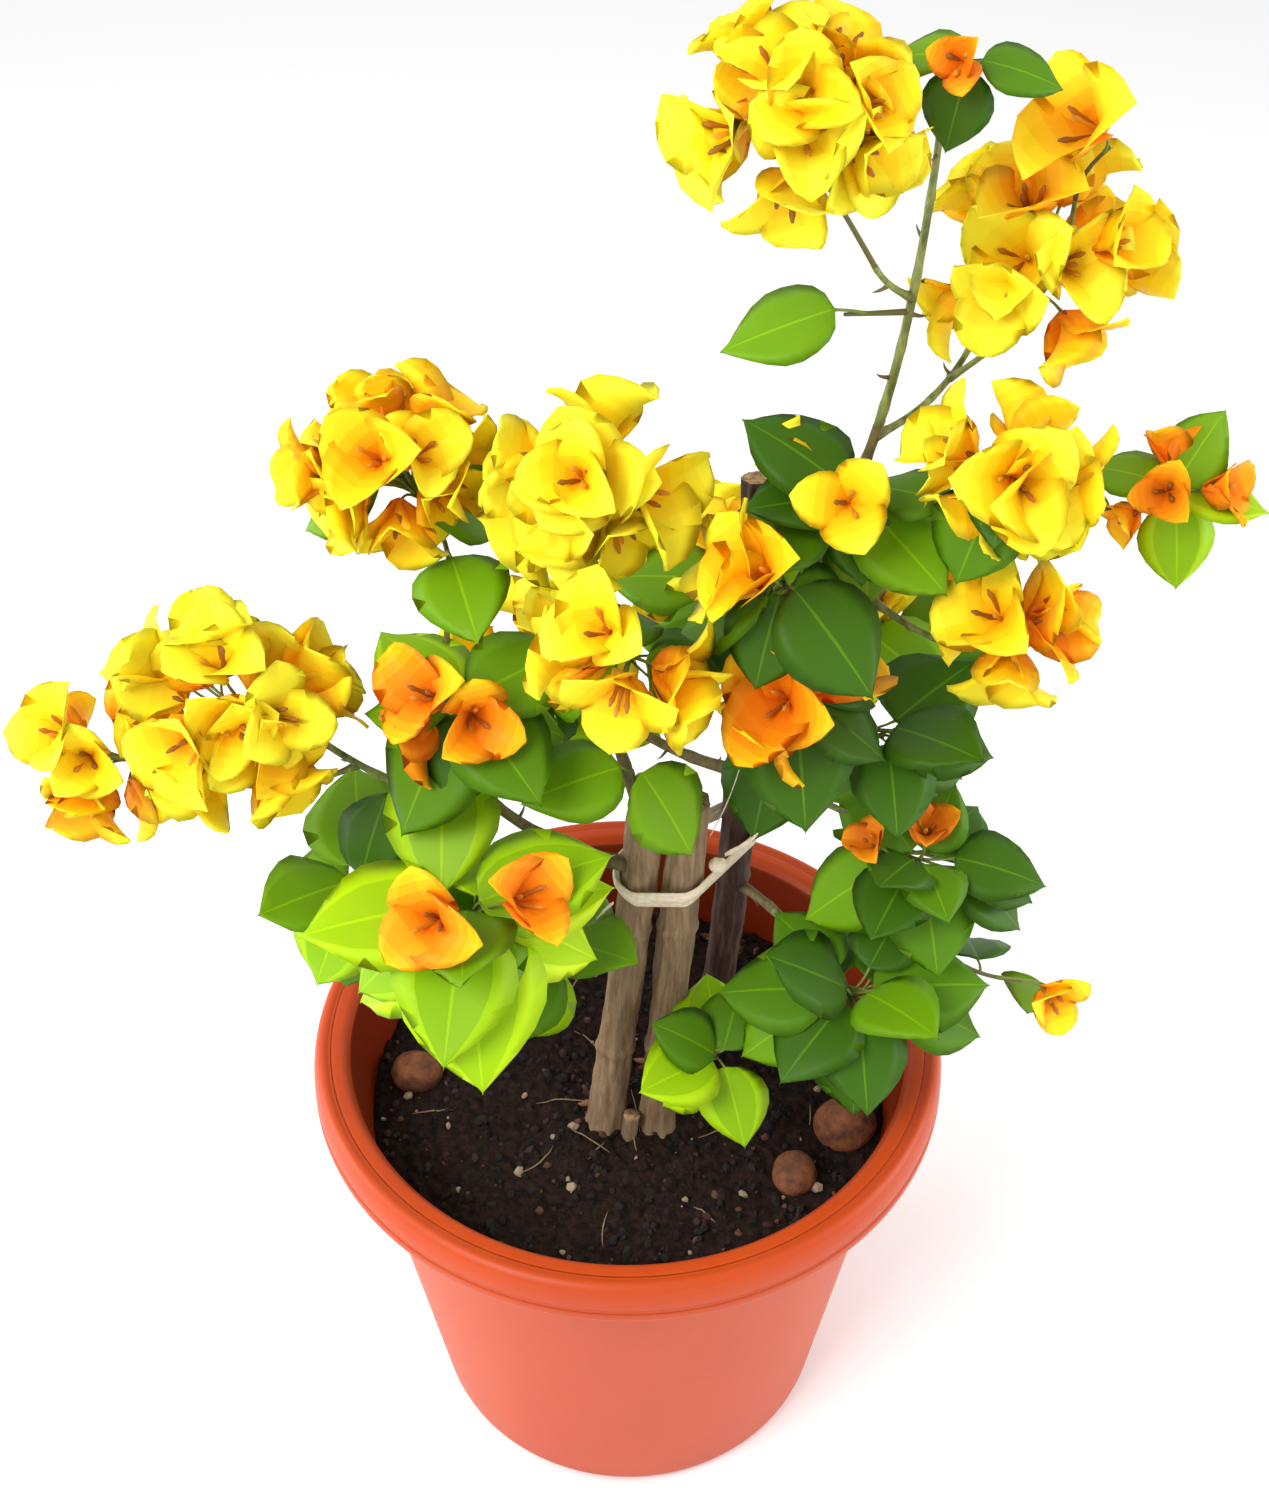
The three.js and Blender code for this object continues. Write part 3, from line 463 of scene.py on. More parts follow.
def tube_faces(rings, sides):
    """The faces of a closed tube: its quads, then a cap on its first ring and one on its last."""
    last = (rings - 1) * sides
    caps = [list(range(sides))[::-1], list(range(last, last + sides))]
    return grid_faces(rings, sides).tolist() + caps


def make_object(name, points, faces, materials, slots=None, smooth=True):
    """A mesh object from points in millimetres and a list of faces."""
    mesh = bpy.data.meshes.new(name)
    mesh.from_pydata((np.asarray(points) * MM).tolist(), [], faces)
    for material in materials:
        mesh.materials.append(material)
    if slots is not None:
        mesh.polygons.foreach_set("material_index", np.asarray(slots, np.int32))
    mesh.polygons.foreach_set("use_smooth", np.full(len(mesh.polygons), smooth))
    mesh.update()
    piece = bpy.data.objects.new(name, mesh)
    bpy.context.scene.collection.objects.link(piece)
    return piece


def finish_piece(piece, nodes=()):
    """Puts a piece on the plant's one body, and hides the solids that it stands for."""
    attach(piece, "root")
    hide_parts(*nodes)


class Heap:
    """Many meshes gathered into one."""

    def __init__(self):
        self.points, self.faces, self.slots, self.count = [], [], [], 0

    def add(self, points, faces, slot=0):
        """Adds one mesh: an array of points, lists of corners, and a slot for all or each."""
        self.points.append(points)
        self.faces += [[corner + self.count for corner in face] for face in faces]
        self.slots += [slot] * len(faces) if np.ndim(slot) == 0 else list(slot)
        self.count += len(points)

    def add_copies(self, points, faces, slots):
        """Adds copies of one mesh: points is copies x corners x 3, and slots copies x faces."""
        copies, corners = points.shape[:2]
        starts = self.count + corners * np.arange(copies)
        self.points.append(points.reshape(-1, 3))
        for size in sorted({len(face) for face in faces}):
            chosen = [k for k, face in enumerate(faces) if len(face) == size]
            block = np.array([faces[k] for k in chosen])[None] + starts[:, None, None]
            self.faces += block.reshape(-1, size).tolist()
            self.slots += slots[:, chosen].reshape(-1).tolist()
        self.count += copies * corners

    def build(self, name, materials, smooth=True):
        return make_object(name, np.vstack(self.points), self.faces, materials, self.slots, smooth)


def sweep(path, radius, sides, bump=None):
    """A closed tube: a circle carried along a path of points. radius is one value for each point
    of the path, and bump a share of it for each point and each side. The first spoke is carried
    along square to the path. Returns points and faces, with a flat cap on either end."""
    path = np.asarray(path, float)
    tangent = unit(np.gradient(path, axis=0))
    side, _ = square_to(tangent[0])
    side = unit(side - tangent * (tangent @ side)[:, None])
    rise = np.cross(tangent, side)
    angle = even_turn(sides)
    spoke = side[:, None] * np.cos(angle)[:, None] + rise[:, None] * np.sin(angle)[:, None]
    reach = np.broadcast_to(np.asarray(radius, float)[:, None], (len(path), sides))
    if bump is not None:
        reach = reach * (1 + bump)
    points = (path[:, None] + spoke * reach[..., None]).reshape(-1, 3)
    return points, tube_faces(len(path), sides)


def rounded(outline, steps=4):
    """An outline with its corners rounded. Each row is a radius, a height and the length of edge
    that its rounding takes, which becomes a quadratic curve from edge to edge."""
    outline = np.array(outline, float)
    points, cut = outline[:, :2], outline[:, 2:]
    before = unit(np.vstack([points[:1], points[:-1]]) - points + 1e-9)
    after = unit(np.vstack([points[1:], points[-1:]]) - points + 1e-9)
    t = np.linspace(0, 1, steps)[:, None, None]
    curve = (1 - t) ** 2 * (points + before * cut) + 2 * t * (1 - t) * points + t**2 * (points + after * cut)
    curve = curve.transpose(1, 0, 2)
    sharp = cut[:, 0] == 0
    return np.vstack([curve[k, :1] if sharp[k] else curve[k] for k in range(len(points))])


def lathe(outline, segments):
    """A surface of revolution: each point (radius, height) of the outline turned about Z. The
    first and last points lie on the axis and are single poles."""
    ring = on_circle(even_turn(segments))
    inner = outline[1:-1]
    body = np.concatenate(
        [inner[:, None, :1] * ring, np.broadcast_to(inner[:, None, 1:], (len(inner), segments, 1))], axis=-1
    )
    poles = np.array([[0, 0, outline[0, 1]], [0, 0, outline[-1, 1]]])
    points = np.vstack([body.reshape(-1, 3), poles])
    faces = grid_faces(len(inner), segments).tolist()
    first, last = len(points) - 2, len(points) - 1
    start = (len(inner) - 1) * segments
    for k in range(segments):
        beside = (k + 1) % segments
        faces.append([first, beside, k])
        faces.append([last, start + k, start + beside])
    return points, faces


def ball(levels, segments):
    """A sphere of radius 1 with its rings at even heights."""
    level = np.linspace(-1, 1, levels)
    return lathe(np.stack([np.sqrt(1 - level**2), level], -1), segments)


# ---- Materials ----


def link(tree, *pairs):
    """Joins each pair of sockets in a node tree."""
    for source, target in pairs:
        tree.links.new(source, target)


def grain_group():
    """Grain: noise at the given scale. Within the spread on either side of a half it runs smoothly
    from the dark colour to the light one, and it puts out the same as a height."""
    if "grain" in bpy.data.node_groups:
        return bpy.data.node_groups["grain"]
    group = bpy.data.node_groups.new("grain", "ShaderNodeTree")
    for label, direction, kind in (
        ("Vector", "INPUT", "Vector"), ("Scale", "INPUT", "Float"), ("Spread", "INPUT", "Float"),
        ("Dark", "INPUT", "Color"), ("Light", "INPUT", "Color"),
        ("Color", "OUTPUT", "Color"), ("Height", "OUTPUT", "Float"),
    ):
        group.interface.new_socket(name=label, in_out=direction, socket_type=f"NodeSocket{kind}")
    start, end = group.nodes.new("NodeGroupInput"), group.nodes.new("NodeGroupOutput")
    noise, spread, low, high, blend = (
        group.nodes.new(f"ShaderNode{kind}") for kind in ("TexNoise", "MapRange", "Math", "Math", "Mix")
    )
    noise.inputs["Detail"].default_value = 6.0
    noise.inputs["Roughness"].default_value = 0.65
    spread.interpolation_type = "SMOOTHSTEP"
    low.operation = "SUBTRACT"
    low.inputs[0].default_value = high.inputs[0].default_value = 0.5
    blend.data_type = "RGBA"
    link(
        group,
        (start.outputs["Vector"], noise.inputs["Vector"]),
        (start.outputs["Scale"], noise.inputs["Scale"]),
        (start.outputs["Spread"], low.inputs[1]),
        (start.outputs["Spread"], high.inputs[1]),
        (noise.outputs["Fac"], spread.inputs["Value"]),
        (low.outputs[0], spread.inputs["From Min"]),
        (high.outputs[0], spread.inputs["From Max"]),
        (spread.outputs["Result"], blend.inputs["Factor"]),
        (start.outputs["Dark"], blend.inputs[6]),
        (start.outputs["Light"], blend.inputs[7]),
        (blend.outputs[2], end.inputs["Color"]),
        (spread.outputs["Result"], end.inputs["Height"]),
    )
    return group


def plain_material(name, colour, roughness, **constants):
    """A material of one colour. Further sockets of the shader are given by name, with _ for a
    space."""
    material = bpy.data.materials.new(name)
    material.use_nodes = True
    shader = material.node_tree.nodes["Principled BSDF"]
    shader.inputs["Base Color"].default_value = (*colour, 1)
    shader.inputs["Roughness"].default_value = roughness
    for socket, value in constants.items():
        shader.inputs[socket.replace("_", " ")].default_value = value
    return material


def shade_materials(name, codes, roughness, **constants):
    """A row of plain materials, one for each colour code."""
    colours = enumerate(linear(code) for code in codes)
    return [plain_material(f"{name}_{k}", colour, roughness, **constants) for k, colour in colours]


def grained_material(name, dark, light, roughness, scale, spread, relief, stretch=(1, 1, 1), **constants):
    """A material whose colour and relief follow the grain group on Object coordinates."""
    material = plain_material(name, light, roughness, **constants)
    tree = material.node_tree
    shader = tree.nodes["Principled BSDF"]
    place, mapping, grain, bump = (
        tree.nodes.new(f"ShaderNode{kind}") for kind in ("TexCoord", "Mapping", "Group", "Bump")
    )
    mapping.inputs["Scale"].default_value = stretch
    grain.node_tree = grain_group()
    for socket, value in (("Scale", scale), ("Spread", spread), ("Dark", (*dark, 1)), ("Light", (*light, 1))):
        grain.inputs[socket].default_value = value
    bump.inputs["Strength"].default_value = 1.0
    bump.inputs["Distance"].default_value = relief
    link(
        tree,
        (place.outputs["Object"], mapping.inputs["Vector"]),
        (mapping.outputs["Vector"], grain.inputs["Vector"]),
        (grain.outputs["Color"], shader.inputs["Base Color"]),
        (grain.outputs["Height"], bump.inputs["Height"]),
        (bump.outputs["Normal"], shader.inputs["Normal"]),
    )
    return material


# ---- Settings ----


def colour_setting(name, description, code):
    """A colour that is picked in the panel."""
    return FloatVectorProperty(
        name=name, description=description, subtype="COLOR", size=3, default=linear(code)
    )


class PotSettings(bpy.types.PropertyGroup):
    """Pot and what fills it."""

    segments: IntProperty(name="Segments", description="Segments round the pot", default=176, min=24)
    colour: colour_setting("Plastic", "Colour of the pot", 0xBC4512)
    crumbs: IntProperty(name="Crumbs", description="Loose crumbs that lie on the soil", default=1500, min=0)
    fibres: IntProperty(name="Fibres", description="Pale fibres that lie on the soil", default=30, min=0)


class WoodSettings(bpy.types.PropertyGroup):
    """Canes, boughs and the tie."""

    pale_bark: colour_setting("Pale bark", "Colour of the two cut canes", 0xA88C6A)
    dark_bark: colour_setting("Dark bark", "Colour of the dark cane", 0x4E3226)
    node_spacing: FloatProperty(
        name="Node spacing", description="Distance between a bough's nodes, in millimetres",
        default=21.0, min=5.0,
    )


class SpraySettings(bpy.types.PropertyGroup):
    """Leaves and blooms."""

    fill: FloatProperty(
        name="Fill", description="Tries at smaller blooms and leaves inside a spray, as a share of its own",
        default=2.5, min=0.0,
    )
    leaf_thickness: FloatProperty(
        name="Leaf thickness", description="Thickness of a leaf, in millimetres", default=0.8, min=0.1
    )
    bract_thickness: FloatProperty(
        name="Bract thickness", description="Thickness of a bract, in millimetres", default=0.5, min=0.1
    )


class StageSettings(bpy.types.PropertyGroup):
    """Camera, floor and light."""

    lens: FloatProperty(name="Lens", description="Focal length", default=48.0, unit="CAMERA")
    pitch: FloatProperty(
        name="Pitch", description="How far the camera looks down", default=radians(40.3), subtype="ANGLE"
    )
    eye: FloatVectorProperty(
        name="Eye", description="Place of the camera", subtype="TRANSLATION", size=3,
        default=(0.0027, -0.542, 0.805),
    )


# ---- Pot, soil and stones ----

POT_WALL, POT_FLOOR = 3.0, 4.0
UNDER_RIM = 197.0  # height of the rim's underside, outside the wall
INNER_WALL_TOP = 195.0  # below this the inside of the pot is painted darker: painted shade on the inner wall above the soil
BASE_RADIUS, BODY_TOP_RADIUS, SKIRT_FOOT = 84.5, 111.5, 182.5
SOIL_EDGE, SOIL_CROWN = 161.0, 165.0
CROWN_FLAT, CROWN_SLOPE = 50.0, 58.0  # radius of the crown's flat middle, and width of its slope
BED_FOOT, BED_SHOULDER = 4.4, 6.0  # height of the bed's foot, and of its side below its edge
BED_RINGS, BED_SEGMENTS = 92, 300
LUMP_HEIGHT, CLOD_HEIGHT, SOIL_SINK = 3.2, 9.0, 1.6
CRUMB_REACH, CRUMB_LEAST, CRUMB_RANGE = 104.0, 0.7, 2.4
CRUMB_SHADES = (0x100B08, 0x1D130E, 0x361E16, 0x583626, 0xA08A70)
CRUMB_SHARES = (0.42, 0.3, 0.15, 0.09, 0.04)
# What lies on the soil: lengths from and to, radius, height above the soil, colour.
Strand = namedtuple("Strand", "name lengths radius lift colour")
STRANDS = (
    Strand("root_fibre", (8, 24), 0.33, 0.5, 0x8E7658),
    Strand("bark_flake", (5, 11), 1.5, 0.9, 0x8A5E3C),
)
FLAKE_EVERY = 6  # every sixth strand is a flake of bark
STONES = (
    ("stone_right", (88, -22), (13, 12, 11)),
    ("stone_front", (66, -46), (9, 10, 8)),
    ("stone_left", (-88, 6), (11, 9, 9)),
)


def wall_radius(z):
    """Outer radius of the pot's body at a height."""
    return mix(BASE_RADIUS, BODY_TOP_RADIUS, z / SKIRT_FOOT)


def soil_height(x, y):
    """The soil's surface: a low crown, its foot at the wall, with lumps of several sizes."""
    distance = np.hypot(x, y)
    crown = mix(SOIL_CROWN, SOIL_EDGE, np.clip((distance - CROWN_FLAT) / CROWN_SLOPE, 0, 1) ** 1.3)
    flat = np.stack([x, y], axis=-1)
    lumps = ripples(flat, 10, 46, 17, 3) * LUMP_HEIGHT
    clods = np.abs(ripples(flat, 40, 15, 2.6, 8)) * CLOD_HEIGHT
    return crown - SOIL_SINK + lumps + clods


class BOUGAINVILLEA_OT_pot(bpy.types.Operator):
    """Turns the pot: a tapered body under a rim that is folded over into a hanging skirt"""

    bl_idname = "bougainvillea.pot"
    bl_label = "Pot"

    def execute(self, context):
        settings = context.scene.bougainvillea_pot
        outline = rounded(
            (
                (0, 0.6, 0), (72, 0.6, 0.5), (73, 0, 0.5), (BASE_RADIUS - 4, 0, 1.5),
                (wall_radius(4), 4, 2.5), (wall_radius(30), 30, 0), (wall_radius(110), 110, 0),
                (wall_radius(178), 178, 0), (wall_radius(UNDER_RIM), UNDER_RIM, 0.5),
                (122.4, UNDER_RIM, 0.5), (123.4, SKIRT_FOOT, 0.8), (126.4, SKIRT_FOOT, 1.2),
                (126.4, 186.2, 0.6), (125.7, 187.0, 0.5), (125.7, 188.2, 0.5), (126.3, 189.0, 0.6),
                (126.0, 193.5, 1.6), (124.6, 198.2, 1.6), (121.6, 200, 1.4), (119.6, 198.9, 0.8),
                (118.2, 199.4, 0.8), (113.8, 199.2, 1.6), (111, 195.4, 1.6),
                (wall_radius(150) - POT_WALL, 150, 0), (wall_radius(POT_FLOOR) - POT_WALL, POT_FLOOR, 1.5),
                (0, POT_FLOOR, 0),
            )
        )
        points, faces = lathe(outline, settings.segments)
        rings = outline[1:-1]
        inside = (np.arange(len(rings) - 1) > rings[:, 1].argmax()) & (rings[1:, 1] < INNER_WALL_TOP)
        slots = np.append(np.repeat(inside, settings.segments), np.zeros(2 * settings.segments))
        colour = np.array(settings.colour)
        materials = [
            self.plastic("moulded_plastic", colour),
            # the inner wall below INNER_WALL_TOP gets a darker copy of the plastic: painted shade
            self.plastic("painted_shade_plastic", colour * (0.45, 0.38, 0.4)),
        ]
        pot = make_object("pot_shell", points, faces, materials, slots)
        finish_piece(pot, ["pot"])
        return {"FINISHED"}

    def plastic(self, name, colour):
        """Smooth moulded plastic, a little mottled, with a soft gloss."""
        return grained_material(
            name, colour * (0.9, 0.8, 0.75), colour, 0.42, 22.0, 0.35, 0.00008, (1, 1, 0.6),
            Specular_IOR_Level=0.28,
        )


class BOUGAINVILLEA_OT_soil(bpy.types.Operator):
    """Fills the pot with lumpy soil, and strews crumbs, fibres and three stones over it"""

    bl_idname = "bougainvillea.soil"
    bl_label = "Soil and stones"

    def execute(self, context):
        settings = context.scene.bougainvillea_pot
        self.lay_bed()
        self.strew_crumbs(settings.crumbs)
        self.strew_fibres(settings.fibres)
        self.place_stones()
        return {"FINISHED"}

    def lay_bed(self):
        """The bed: a lathe whose top rings take their height from the soil's surface."""
        inside = wall_radius(SOIL_EDGE) - POT_WALL - GAP
        foot = wall_radius(5) - POT_WALL - GAP
        top = np.linspace(inside, 0, BED_RINGS + 1)
        side = [[0, BED_FOOT], [foot, BED_FOOT], [inside, SOIL_EDGE - BED_SHOULDER]]
        outline = np.vstack([side, np.stack([top, np.full(BED_RINGS + 1, SOIL_CROWN)], -1)])
        points, faces = lathe(outline, BED_SEGMENTS)
        raised = points[:, 2] == SOIL_CROWN
        points[raised, 2] = soil_height(points[raised, 0], points[raised, 1])
        peat = grained_material(
            "peat", linear(0x0C0806), linear(0x33211A), 0.95, 260.0, 0.22, 0.0006, Specular_IOR_Level=0.2
        )
        finish_piece(make_object("potting_soil", points, faces, [peat]), ["soil"])

    def strew_crumbs(self, count):
        """Crumbs: lumps of 24 faces, each pushed about, flattened and turned at random, and spread
        evenly over the soil: radius = CRUMB_REACH r^0.5."""
        random = np.random.default_rng(21)
        radius = CRUMB_REACH * np.sqrt(random.random(count))
        angle = random.uniform(0, 2 * pi, count)
        x, y = radius * np.cos(angle), radius * np.sin(angle)
        size = CRUMB_LEAST + CRUMB_RANGE * random.random(count) ** 2.5
        z = soil_height(x, y) + size * 0.25
        shape, faces = lump()
        bumpy = shape * random.uniform(0.7, 1.2, (count, len(shape), 1))
        flat = random.uniform(0.45, 1.0, (count, 1, 3))
        points = turned(bumpy * flat, random) * size[:, None, None] + np.stack([x, y, z], -1)[:, None]
        shades = random.choice(len(CRUMB_SHADES), count, p=CRUMB_SHARES)
        heap = Heap()
        heap.add_copies(points, faces, np.repeat(shades[:, None], len(faces), axis=1))
        crumbs = heap.build("soil_crumbs", shade_materials("crumb", CRUMB_SHADES, 0.9), smooth=False)
        finish_piece(crumbs, ["soil"])

    def strew_fibres(self, count):
        """Fibres: thin bent strands that lie on the soil, with flakes of bark among them."""
        random = np.random.default_rng(33)
        heap = Heap()
        share = np.linspace(-0.5, 0.5, 7)[:, None]
        for k in range(count):
            kind = int(k % FLAKE_EVERY == 0)
            strand = STRANDS[kind]
            middle = random.uniform(12, 98) * np.array([cos(k * GOLDEN), sin(k * GOLDEN)])
            angle = random.uniform(0, pi)
            ahead, aside = np.array([cos(angle), sin(angle)]), np.array([-sin(angle), cos(angle)])
            length = random.uniform(*strand.lengths)
            path = middle + ahead * share * length + aside * random.normal() * 4 * share**2
            height = soil_height(path[:, 0], path[:, 1])
            path = np.column_stack([path, np.maximum(height, height.mean()) + strand.lift])
            width = strand.radius * np.sin(np.linspace(0.25, pi - 0.25, len(share)))
            heap.add(*sweep(path, width, 5), kind)
        materials = [plain_material(strand.name, linear(strand.colour), 0.9) for strand in STRANDS]
        finish_piece(heap.build("soil_fibres", materials), ["soil"])

    def place_stones(self):
        """Stones: spheres with lengths of their own, rough with ripples."""
        heap = Heap()
        for k, (_, (x, y), size) in enumerate(STONES):
            points, faces = ball(17, 26)
            bump = 1 + 0.16 * ripples(points, 24, 2.2, 0.35, 50 + k)
            rest = SOIL_EDGE + 1 + size[2] * 0.3
            heap.add(points * np.minimum(bump, 1)[:, None] * size + (x, y, rest), faces)
        clay = grained_material("baked_clay", linear(0x3C2216), linear(0x9A5A30), 0.8, 120.0, 0.25, 0.0005)
        finish_piece(heap.build("clay_stones", [clay]), [row[0] for row in STONES])


def lump():
    """A cube's corners and its faces' middles, all at the same distance, as 24 triangles."""
    corners = np.array([(x, y, z) for x in (-1, 1) for y in (-1, 1) for z in (-1, 1)]) / sqrt(3)
    sides = (((0, 1, 3, 2), (-1, 0, 0)), ((4, 6, 7, 5), (1, 0, 0)), ((0, 4, 5, 1), (0, -1, 0)),
             ((2, 3, 7, 6), (0, 1, 0)), ((0, 2, 6, 4), (0, 0, -1)), ((1, 5, 7, 3), (0, 0, 1)))
    points = np.vstack([corners, [middle for _, middle in sides]])
    faces = [[8 + k, ring[j], ring[(j + 1) % 4]] for k, (ring, _) in enumerate(sides) for j in range(4)]
    return points, faces


def turned(points, random):
    """Each copy turned by a random rotation, made from two random directions."""
    first = unit(random.normal(size=(len(points), 3)))
    second = random.normal(size=(len(points), 3))
    second = unit(second - first * (first * second).sum(axis=1, keepdims=True))
    axes = np.stack([first, second, np.cross(first, second)], axis=1)
    return points @ axes


# ---- Canes, boughs and tie ----

TIE_HEIGHT, TIE_BAND, TIE_THICK = 294.0, 5.0, 1.5
TIE_SAG = 4.5  # how far the tie hangs at the front
TIE_LAPS = ((0.9, -1.0), (1.9, 1.2))  # how far each lap stands off the canes, and how much higher
TIE_STATIONS, END_STATIONS = 144, 16
# The tie's three loose ends, each a start, a control point and an end, and the way that they face.
TIE_ENDS = (
    ((36, -6, 300), (44, -10, 309), (47, -14, 318)),
    ((-5, -21, 290), (-10, -24, 288), (-12, -25, 283)),
    ((30, -9, 312), (38, -8, 330), (41, -7, 350)),
)
ENDS_FACE = (0.35, -0.94)
KNOT_PLACE, KNOT_SIZE = (33.5, -9.5, 298), (3.4, 2.6, 3.0)
CANE_SIDES, CANE_STATIONS, CANE_NODES = 44, 150, 62
FOOT_TOP, FOOT_RISE, FOOT_SWELL = 172.0, 14.0, 0.3  # a cut cane thickens below this height
PEG = ((0, -27, 150), (0.4, -26, 162), (1.5, -25, 175))
PEG_RADII = (3.9, 3.4)
BOUGH_SIDES, BOUGH_STEP = 12, 1.6
YOUNG_WOOD = 1.7  # a bough is green where its radius is less than this
NODE_SWELL, NODE_HALF = 0.14, 2.2  # how much a node thickens a limb, and how far along it
COLLAR = 2.2  # length of a collar, in radii of the limb's root
GROOVES = (30, 9.0, 1.3)  # how many ripples the bark has, the longest and the shortest
GROOVE_STRETCH = 0.16  # how slowly they change along a limb
THORN_RADII = np.array([0.8, 0.75, 0.6, 0.45, 0.28, 0.08])


def bark_tube(curve, limb_radii, sides, stations, spacing, seed, collar=0.0, fissure=0.05):
    """A limb with bark. At a distance d along it the radius is that of an even taper, times
    1 + collar exp(-d / collar length), times 1 + swell exp(-(d from the nearest node / half)^2). Its
    sides are grooved by ripples that run along it."""
    share = np.linspace(0, 1, stations)
    length = curve.length()
    radius = mix(*limb_radii, share)
    distance = share * length
    radius = radius * (1 + collar * np.exp(-distance / (COLLAR * limb_radii[0])))
    nearest = np.abs((distance + 0.4 * spacing) % spacing - spacing / 2)
    radius = radius * (1 + NODE_SWELL * np.exp(-((nearest / NODE_HALF) ** 2)))
    around = on_circle(even_turn(sides)) * limb_radii[0] * 1.6
    along = distance[:, None, None] * GROOVE_STRETCH
    parts = (around, (stations, sides, 2)), (along, (stations, sides, 1))
    cylinder = np.concatenate([np.broadcast_to(part, shape) for part, shape in parts], axis=-1)
    grooves = ripples(cylinder, *GROOVES, seed) * fissure * 5
    return sweep(curve.at(share), radius, sides, grooves)


class BOUGAINVILLEA_OT_canes(bpy.types.Operator):
    """Raises the three canes with their bark, and ties them with raffia"""

    bl_idname = "bougainvillea.canes"
    bl_label = "Canes and tie"

    def execute(self, context):
        settings = context.scene.bougainvillea_wood
        limbs = grow_limbs()
        pale = np.array(settings.pale_bark)
        dark = np.array(settings.dark_bark)
        pale_bark = grained_material(
            "pale_bark", pale * (0.42, 0.38, 0.36), pale, 0.8, 420.0, 0.3, 0.0004, (1, 1, 0.13)
        )
        cut_wood = grained_material("cut_wood", linear(0x6B3F2C), linear(0xC9A877), 0.85, 500.0, 0.2, 0.0004)
        dark_bark = grained_material(
            "dark_bark", dark * 0.35, dark * 1.2, 0.75, 300.0, 0.25, 0.0005, (1, 1, 0.2)
        )
        for name in CANES:
            curve, limb_radii = limbs[name]
            cut = name != "cane_dark"
            points, faces = bark_tube(
                curve, limb_radii, CANE_SIDES, CANE_STATIONS, CANE_NODES, len(name), fissure=0.07
            )
            if cut:
                swell = np.clip((FOOT_TOP - points[:, 2]) / FOOT_RISE, 0, 1)[:, None] ** 2
                foot = curve.start[2]
                centre = curve.at((points[:, 2] - foot) / (curve.end[2] - foot))
                points += (points - centre) * swell * FOOT_SWELL * (1, 1, 0)
            heap = Heap()
            heap.add(points, faces, [0] * (len(faces) - 1) + [1])
            if name == "cane_left":
                self.add_peg(heap)
            piece = heap.build(f"{name}_bark", [pale_bark if cut else dark_bark, cut_wood])
            finish_piece(piece, [name])
        self.tie(limbs)
        return {"FINISHED"}

    def add_peg(self, heap):
        """The stub of a third pale cane, cut off just above the soil."""
        points, faces = bark_tube(
            Curve(*PEG), PEG_RADII, sides=20, stations=24, spacing=30, seed=9, fissure=0.08
        )
        heap.add(points, faces, [0] * (len(faces) - 1) + [1])

    def tie(self, limbs):
        """The tie: a flat strap of raffia carried round the three canes twice. Its loop is the
        furthest that any cane reaches in each direction, plus the strap; it sags at the front."""
        angle = np.linspace(0, 2 * pi, TIE_STATIONS, endpoint=False)
        spoke = on_circle(angle)
        discs = []
        for name in CANES:
            curve, limb_radii = limbs[name]
            share = (TIE_HEIGHT - curve.start[2]) / (curve.end[2] - curve.start[2])
            discs.append((curve.at(share)[:2], mix(*limb_radii, share)))
        reaches = np.array([spoke @ centre + radius for centre, radius in discs])
        chosen = reaches.argmax(axis=0)
        centres = np.array([centre for centre, _ in discs])[chosen]
        widths = np.array([radius for _, radius in discs])[chosen]
        heap = Heap()
        for lap, (pad, lift) in enumerate(TIE_LAPS):
            loop = centres + spoke * (widths + pad + GAP)[:, None]
            sag = lift - TIE_SAG * np.cos(angle + pi / 2 + 0.25 * lap) + 0.4 * np.sin(5 * angle + lap)
            path = np.column_stack([loop, TIE_HEIGHT + sag])
            heap.add(*self.strap(path, spoke, True, lap))
        for k, end in enumerate(TIE_ENDS):
            path = Curve(*end).at(np.linspace(0, 1, END_STATIONS))
            outward = np.broadcast_to(ENDS_FACE, (END_STATIONS, 2))
            heap.add(*self.strap(path, outward, False, 5 + k, 0.5 - 0.12 * k))
        heap.add(*self.knot())
        raffia = grained_material(
            "raffia", linear(0xE8CFA8), linear(0xFFF6E2), 0.6, 500.0, 0.25, 0.0003, (1, 1, 1.6)
        )
        finish_piece(heap.build("tie_raffia", [raffia]), ["tie"])

    def strap(self, path, outward, closed, seed, scale=1.0):
        """A strap, carried round a path. Its section is width sin a along the canes and
        thick cos a (1 + 0.35 cos 5a) out from them, which gives it ridges. The width changes slowly
        along it, and a loose end narrows."""
        count, sides = len(path), 14
        angle = even_turn(sides)
        width = TIE_BAND * scale / 2 * (1 + 0.16 * np.sin(np.linspace(0, 6 * pi, count) + seed))
        if not closed:
            width = width * np.sin(np.linspace(0.9, pi - 0.35, count))
        out = np.column_stack([outward, np.zeros(count)])
        lift = width[:, None] * np.sin(angle)
        proud = TIE_THICK * scale / 2 * np.cos(angle) * (1 + 0.35 * np.cos(5 * angle + seed))
        points = path[:, None] + UP * lift[..., None] + out[:, None] * proud[None, :, None]
        faces = grid_faces(count, sides, closed_rows=True).tolist() if closed else tube_faces(count, sides)
        return points.reshape(-1, 3), faces

    def knot(self):
        """The knot: an egg whose ridges, 1 + 0.1 cos(4 angle + 5 height), wind round it."""
        points, faces = ball(15, 20)
        angle = np.arctan2(points[:, 1], points[:, 0])
        ridge = 1 + 0.1 * np.cos(4 * angle + 5 * points[:, 2])
        return points * ridge[:, None] * KNOT_SIZE + KNOT_PLACE, faces


